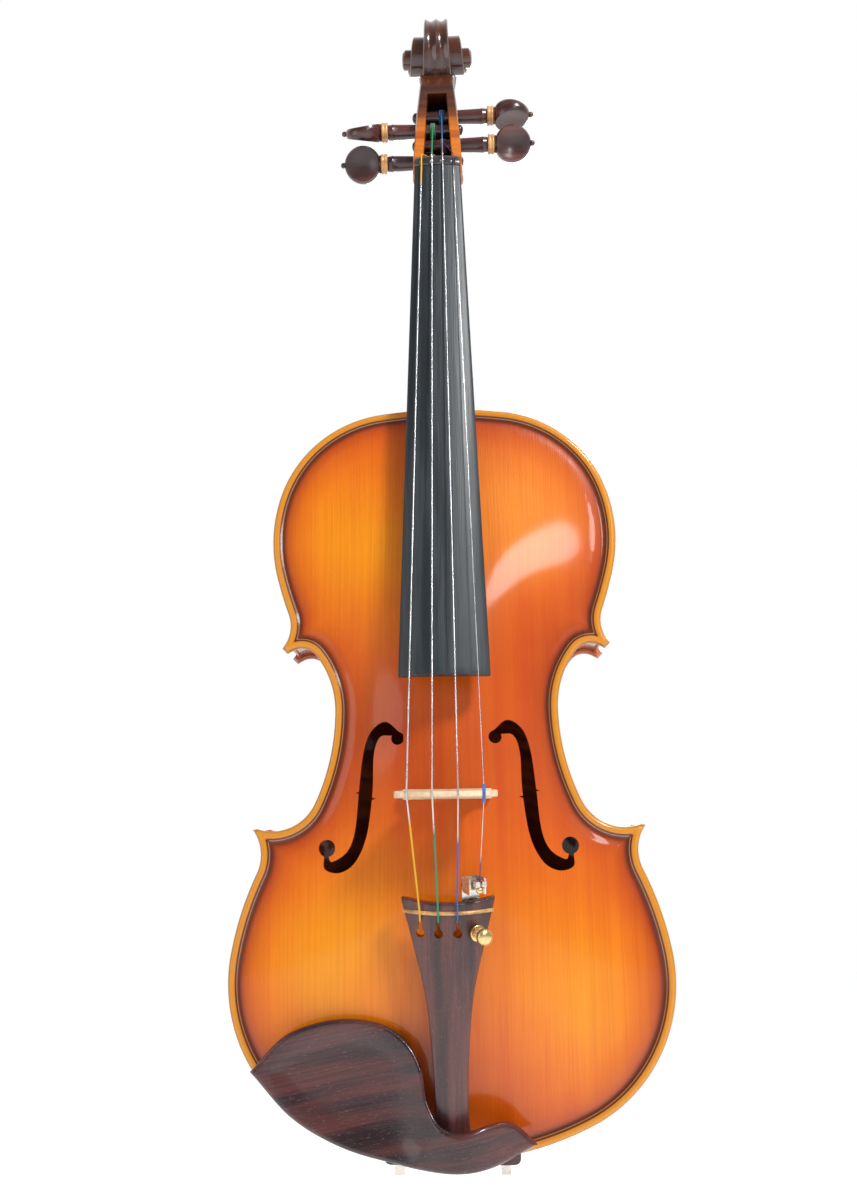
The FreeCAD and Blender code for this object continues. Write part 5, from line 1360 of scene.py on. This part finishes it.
rosewood_upright, tree, shader, place = new_material(
    "rosewood_upright", Roughness=0.34, Coat_Weight=0.35, Coat_Roughness=0.22, Specular_IOR_Level=0.5)
lines, streaks, pores = grain(tree, place, 1100.0, 12.0)[:3]
colour = ramp(tree, streaks, (0.0, (0.026, 0.007, 0.008)), (0.5, (0.058, 0.016, 0.016)),
              (1.0, (0.11, 0.030, 0.026)))
colour = blend_colours(tree, sums(tree, "MULTIPLY", lines, 0.4), colour, (0.018, 0.006, 0.006, 1))
colour = blend_colours(tree, sums(tree, "MULTIPLY", pores, 0.6), colour, (0.16, 0.075, 0.065, 1))
tree.links.new(colour, shader.inputs["Base Color"])
bump(tree, shader, sums(tree, "SUBTRACT", lines, sums(tree, "MULTIPLY", pores, 2.0)), 0.14, 0.0003)
tail.data.materials.append(rosewood_upright)
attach(tail, "body")
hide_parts("tailpiece")

fret_rows = []
for x in np.linspace(-19.8, 19.8, 60):
    a = math.asin(x / 32.0)
    nick = 0.35 * sum(math.exp(-((x - hole) / 0.5) ** 2) for hole in HOLES[:3])
    row = [(30.9, -0.85), (32.3, -0.85), (32.8 - nick, -0.55), (33.0 - nick, 0.0), (32.8 - nick, 0.55),
           (32.3, 0.85),
           (30.9, 0.85)]
    fret_rows.append(tail_place([(rho * math.sin(a), 23.0 - rho * math.cos(a), 104.5 + dz) for rho,
                                 dz in row]))
fret = lofted("tail_fret_visual", [fret_rows], angle=50.0)
fret.data.materials.append(boxwood)
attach(fret, "body")
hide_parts("tailpiece_fret")


# ------------------------------------------------------------------ end button, saddle and tail gut
# A turned rosewood button plugged into the end block; a nylon cord loops round its neck, bends over the
# ebony saddle and is held in the tailpiece by two small threaded brass nuts.
def ring_rows(profile, sides=36):
    """Rows for lofted() from (z, radius) of a piece turned about the Z axis."""
    return [[(r * math.cos(2 * math.pi * k / sides), r * math.sin(2 * math.pi * k / sides), z)
             for k in range(sides)]
            for z, r in profile]


button_profile = [(-0.78, 0.4), (-0.75, 1.2), (-0.62, 2.6), (-0.3, 4.2), (0.1, 5.6), (0.7, 6.6), (1.5, 7.0),
                  (2.2, 6.9),
                  (2.5, 6.5), (2.8, 6.6), (3.2, 6.5), (3.6, 5.9), (4.0, 4.9), (4.4, 4.3), (5.4, 4.15),
                  (8.0, 4.2),
                  (8.95, 4.3), (9.0, 3.9), (31.0, 3.1), (31.2, 2.6)]
button = lofted("end_button_visual", [ring_rows(button_profile)], angle=40.0)
button.data.materials.append(rosewood_upright)
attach(button, "body")
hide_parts("end_button")

saddle_rows = []
for x in np.linspace(-16.95, 16.95, 57):
    top = -24.4 + 4.9 * float(smooth((abs(x) - 7.5) / 9.2)) ** 0.9
    groove = 0.35 * sum(math.exp(-((x - s * 5.15) / 0.9) ** 2) for s in (-1, 1))
    low_z = 6.5 + max(0.0, 71.0 - math.sqrt(max(0.0, 71.0 ** 2 - x * x))) * 0.4 + 0.05
    profile = [(low_z, -15.55), (low_z, top + 2.2), (low_z + 0.25, top + 1.1 + groove),
               (low_z + 0.8, top + 0.35 + groove),
               (low_z + 1.7, top + groove), (11.2, top + 0.1), (12.4, top + 0.3), (12.9, top + 0.9),
               (12.95, -15.55)]
    saddle_rows.append([(x, y, z) for z, y in profile])
saddle = lofted("saddle_visual", [saddle_rows], angle=55.0)
saddle.data.materials.append(polished_ebony)
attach(saddle, "body")
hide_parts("saddle")

nylon, tree, shader, place = new_material("nylon_cord", Roughness=0.32, Coat_Weight=0.3, Coat_Roughness=0.2)
fibre = add_node(tree, "ShaderNodeTexNoise", {"Vector": place, "Scale": 900.0, "Detail": 2.0}).outputs[0]
tree.links.new(ramp(tree, fibre, (0.3, (0.018, 0.018, 0.02)), (0.7, (0.05, 0.05, 0.055))),
               shader.inputs["Base Color"])
bump(tree, shader, fibre, 0.1, 0.0001)
legs = []
for s in (-1, 1):
    start = tail_place((s * 5.15, -4.6, 11.0))
    leg = [start, (s * 5.15, -25.45, 8.0)]
    leg += [(s * 5.15, -25.45 + 2.6 * (1 - math.cos(a)), 5.4 + 2.6 * (1 - math.sin(a)))
            for a in (0.5, 1.0, 1.5)]
    legs.append(leg)
loop = [(5.15 * math.cos(a), 5.15 * math.sin(a), 5.4) for a in np.linspace(math.pi, 0, 25)]
gut_path = [np.array(p, float) for p in legs[0] + loop + legs[1][::-1]]
gut_line = [gut_path[0]]
for a, b in zip(gut_path, gut_path[1:]):
    count = max(1, int(np.linalg.norm(b - a) / 2.0))
    gut_line += [a + (b - a) * k / count for k in range(1, count + 1)]
gut = grown("tail_gut_visual", cord, {"Radius": 0.0009, "Sides": 14, "Material": nylon}, gut_line,
            [(i, i + 1) for i in range(len(gut_line) - 1)])
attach(gut, "body")
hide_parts("tail_gut")


def metal_paint(name, dark, light, rough=0.25):
    """Polished metal with a slow change of tone, fine scratches and dulled patches."""
    made, tree, shader, place = new_material(name, Metallic=1.0)
    tone = add_node(tree, "ShaderNodeTexNoise", {"Vector": place, "Scale": 160.0, "Detail": 3.0}).outputs[0]
    fine = add_node(tree, "ShaderNodeTexNoise", {"Vector": place, "Scale": 2400.0, "Detail": 2.0}).outputs[0]
    tree.links.new(ramp(tree, tone, (0.35, dark), (0.65, light)), shader.inputs["Base Color"])
    tree.links.new(sums(tree, "MULTIPLY_ADD", tone, 0.25, rough - 0.08), shader.inputs["Roughness"])
    bump(tree, shader, fine, 0.06, 0.0001)
    return made


brass = metal_paint("brass", (0.62, 0.40, 0.14), (0.88, 0.66, 0.32), 0.22)
steel = metal_paint("steel", (0.40, 0.40, 0.42), (0.62, 0.62, 0.64), 0.28)
nickel = metal_paint("nickel", (0.58, 0.52, 0.46), (0.80, 0.76, 0.70), 0.22)


# ------------------------------------------------------------------ fine tuner
# A nickel-plated bracket folded into a small box and clamped in the tailpiece's fourth hole by a knurled ring
# nut; a brass screw with a knurled knob tips the lever that holds the ball of the E string.
def knurl_maker():
    """Geometry nodes: ridges set evenly round the Z axis."""
    tree, given = start_growth("knurling", (
        ("Radius", 0.001), ("Height", 0.001), ("Ridge", 0.001)), (("Count", 24),))
    ring = add_node(tree, "GeometryNodeMeshCircle",
                    {"Vertices": given["Count"], "Radius": given["Radius"]}).outputs[0]
    ridge = add_node(tree, "GeometryNodeMeshCone", {
        "Vertices": 5, "Radius Top": sums(tree, "MULTIPLY", given["Ridge"], 0.8),
        "Radius Bottom": given["Ridge"], "Depth": given["Height"]}).outputs[0]
    spots = add_node(tree, "GeometryNodeInputIndex").outputs[0]
    turn = add_node(tree, "ShaderNodeCombineXYZ", {
        2: sums(tree, "DIVIDE", sums(tree, "MULTIPLY", spots, 2 * math.pi), given["Count"])}).outputs[0]
    placed = add_node(tree, "GeometryNodeInstanceOnPoints",
                      {"Points": ring, "Instance": ridge, "Rotation": turn}).outputs[0]
    return finish_growth(tree, placed, given)


knurling = knurl_maker()


def knurled(name, rows, radius, height, middle, count, paint):
    """A turned piece about the tuner's screw, with ridges round it, in the violin's frame."""
    core = [[(p[0], -p[2], p[1]) for p in row] for row in ring_rows(rows)]
    core = [tuner_place(np.array(row)) for row in core]
    body = lofted(name, [core], angle=40.0)
    body.data.materials.append(paint)
    ridges = grown(name + "_ridges", knurling, {
        "Radius": radius / 1000, "Height": height / 1000, "Ridge": 0.00028, "Count": count,
        "Material": paint})
    flat = mesh_points(ridges)
    move_points(ridges, tuner_place(np.stack([flat[:, 0], -(flat[:, 2] + middle - height / 2), flat[:, 1]],
                                             1)))
    join_meshes(body, [ridges], 40)
    return body


knob = knurled("tuner_knob_visual", [(6.25, 1.3), (6.25, 2.1), (7.2, 2.2), (7.6, 2.3), (7.9, 3.2),
                                     (8.3, 3.45), (9.9, 3.45),
                                     (10.4, 3.2), (10.9, 2.5), (11.3, 1.4), (11.4, 0.4)], 3.45, 1.7, 9.1, 26,
               brass)
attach(knob, "tuner_turn")
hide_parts("tuner_knob")
ring_nut = knurled("tuner_ring_nut_visual", [(0.42, 2.3), (0.42, 3.3), (0.6, 3.45), (1.8, 3.45), (1.98, 3.2),
                                             (1.98, 2.3)],
                   3.45, 1.2, 1.2, 28, brass)
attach(ring_nut, "body")
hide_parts("tuner_ring_nut")

box_rim = np.array([(-2.6, 17.0), (7.0, 17.0), (7.6, 17.6), (7.6, 23.4), (7.0, 24.0), (-2.0, 24.0),
                    (-2.6, 23.4)])


def cheek_out(x, z, d):
    return 4.2 - 0.25 * np.maximum(0.0, 1 - d / 0.4) ** 2


def cheek_in(x, z, d):
    return np.full_like(d, 3.25)


cheeks = []
for s in (-1, 1):
    cheek = carve("cheek", box_rim, [], cheek_out, cheek_in, 0.9, [0.1, 0.25, 0.4])
    flat = mesh_points(cheek)
    move_points(cheek, tuner_place(np.stack([s * flat[:, 1], flat[:, 0], flat[:, 2]], 1)))
    cheeks.append(cheek)
plate_rows = []
for z, half in ((-5.0, 2.2), (-4.6, 3.2), (-3.6, 3.9), (-2.0, 4.2), (12.0, 4.2), (23.9, 4.2)):
    plate_rows.append(tuner_place([(-half, 5.5, z), (half, 5.5, z), (half, 6.4, z), (-half, 6.4, z)]))
collar_rows = [tuner_place(np.array([(p[0], p[2], p[1]) for p in row]))
               for row in ring_rows([(-2.4, 1.4), (-2.4, 2.15), (5.5, 2.15), (5.5, 1.4)], 28)]
base = lofted("tuner_bracket_visual", [plate_rows, collar_rows], angle=40.0)
join_meshes(base, cheeks, 40)
base.data.materials.append(nickel)
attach(base, "body")
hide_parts("tuner_bracket")


# ------------------------------------------------------------------ chin rest and its clamp
# A rosewood plate, dished for the chin on the left and bridging the tailpiece, on two feet lined with cork.
# Two nickel-plated turnbuckles pull a bent foot up against the back.
REST_LINE = [(-90.5, 47), (-76, 61.5), (-60, 67.8), (-44, 69.2), (-29, 66.2), (-18.5, 58.5), (-12.8, 48),
             (-10.6, 36),
             (-5, 26.5), (4, 23.8), (16, 26.6), (27, 25.8), (37.2, 16.5)]
REST_LOW = [(37.2, 16.5), (20, 9.9), (0, 7.6), (-22, 8.9), (-48, 15), (-72, 28), (-90.5, 47)]
rest_rim = np.vstack([through(REST_LOW[::-1], step=1.0)[:-1], through(REST_LINE[::-1], step=1.0)[:-1]])


def rest_y(x, z):
    dish = np.minimum(0.0021 * (x + 48.0) ** 2 + 0.0016 * (z - 52.0) ** 2, 5.0)
    return -(30.0 + dish + 11.0 * np.exp(-((x - 5.0) / 20.0) ** 2)
             - 3.0 * smooth((x - 10.0) / 28.0) - 3.0 * smooth((-62.0 - x) / 28.0))


def rest_outer(x, z, d):
    edge = rounded_edge(d, 1.8)
    return rest_y(x, z) + edge + 0.6 * smooth((d - 4.0) / 8.0) * smooth((-8.0 - x) / 20.0)


def rest_inner(x, z, d):
    edge = rounded_edge(d, 1.4)
    return rest_y(x, z) + 4.95 - edge


rest = carve("chin_rest_visual", rest_rim, [], rest_outer, rest_inner, 1.6,
             [0.1, 0.3, 0.6, 1.0, 1.45, 1.9, 2.6, 3.6, 5.0])
feet = []
for s in (-1, 1):
    rows = []
    for y in np.linspace(-32.5 if s < 0 else -33.5, -20.75, 9):
        grow = 1.0 - 0.06 * math.sin(math.pi * (y + 33) / 13)
        mid_x, mid_z, hx, hz = s * 23.8, 14.0, 6.1 * grow, 5.3 * grow
        rows.append([(mid_x + hx * math.copysign(abs(math.cos(a)) ** 0.45, math.cos(a)), y,
                      mid_z + hz * math.copysign(abs(math.sin(a)) ** 0.45, math.sin(a)))
                     for a in np.arange(32) * math.pi / 16 + 0.01])
    feet.append(rows)
foot_pair = lofted("feet", feet, angle=40.0)
join_meshes(rest, [foot_pair], 40, outward=False)

rest_rosewood, tree, shader, place = new_material(
    "rest_rosewood", Roughness=0.30, Coat_Weight=0.6, Coat_Roughness=0.12, Specular_IOR_Level=0.45)
x, y, z = add_node(tree, "ShaderNodeSeparateXYZ", {0: place}).outputs
leaning = add_node(tree, "ShaderNodeCombineXYZ", {
    0: sums(tree, "MULTIPLY_ADD", x, -0.20, z), 1: y, 2: sums(tree, "MULTIPLY_ADD", z, 0.20, x)}).outputs[0]
lines, streaks, pores = grain(tree, leaning, 1000.0, 9.0)[:3]
colour = ramp(tree, streaks, (0.0, (0.018, 0.005, 0.007)), (0.5, (0.036, 0.009, 0.012)),
              (1.0, (0.085, 0.018, 0.016)))
colour = blend_colours(tree, sums(tree, "MULTIPLY", lines, 0.4), colour, (0.014, 0.004, 0.005, 1))
colour = blend_colours(tree, sums(tree, "MULTIPLY", pores, 0.6), colour, (0.18, 0.075, 0.065, 1))
tree.links.new(colour, shader.inputs["Base Color"])
tree.links.new(sums(tree, "MULTIPLY_ADD", streaks, 0.12, 0.24), shader.inputs["Roughness"])
bump(tree, shader, sums(tree, "SUBTRACT", lines, sums(tree, "MULTIPLY", pores, 2.0)), 0.14, 0.0003)
rest.data.materials.append(rest_rosewood)
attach(rest, "body")
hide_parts("chin_rest")

cork, tree, shader, place = new_material("cork", Roughness=0.85)
crumbs = add_node(tree, "ShaderNodeTexVoronoi", {"Vector": place, "Scale": 1400.0})
colour = ramp(tree, add_node(tree, "ShaderNodeSeparateColor", {0: crumbs.outputs["Color"]}).outputs[0],
              (0.0, (0.22, 0.11, 0.05)), (0.3, (0.40, 0.23, 0.11)), (1.0, (0.52, 0.33, 0.17)))
tree.links.new(colour, shader.inputs["Base Color"])
bump(tree, shader, crumbs.outputs["Distance"], 0.4, 0.0003)


# ------------------------------------------------------------------ pieces kept as they are
# Bare spruce blocks, linings, bass bar and sound post inside the body, turned brass and nickel-plated
# fittings, and cork pads: plain shapes that keep their form and only take on a material.
bare_spruce, tree, shader, place = new_material("bare_spruce", Roughness=0.7)
lines, streaks, pores = grain(tree, place, 800.0, 4.0)[:3]
colour = ramp(tree, streaks, (0.0, (0.52, 0.32, 0.15)), (1.0, (0.66, 0.45, 0.24)))
colour = blend_colours(tree, sums(tree, "MULTIPLY", lines, 0.5), colour, (0.36, 0.19, 0.08, 1))
tree.links.new(colour, shader.inputs["Base Color"])
bump(tree, shader, lines, 0.2, 0.0003)
for paint, nodes in (
        (bare_spruce, ("end_block", "neck_block", "corner_blocks", "linings_top", "linings_back", "bass_bar",
                       "sound_post")),
        (cork, ("chin_rest_corks", "clamp_corks")),
        (nickel, ("clamp_posts", "clamp_foot", "barrel_left", "barrel_right", "tuner_lever")),
        (brass, ("tail_gut_nuts", "tuner_screw", "e_string_ball", "string_balls")), (steel, ("tuner_pin",))):
    for node in nodes:
        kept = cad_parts[node]
        kept.data.materials.clear()
        kept.data.materials.append(paint)
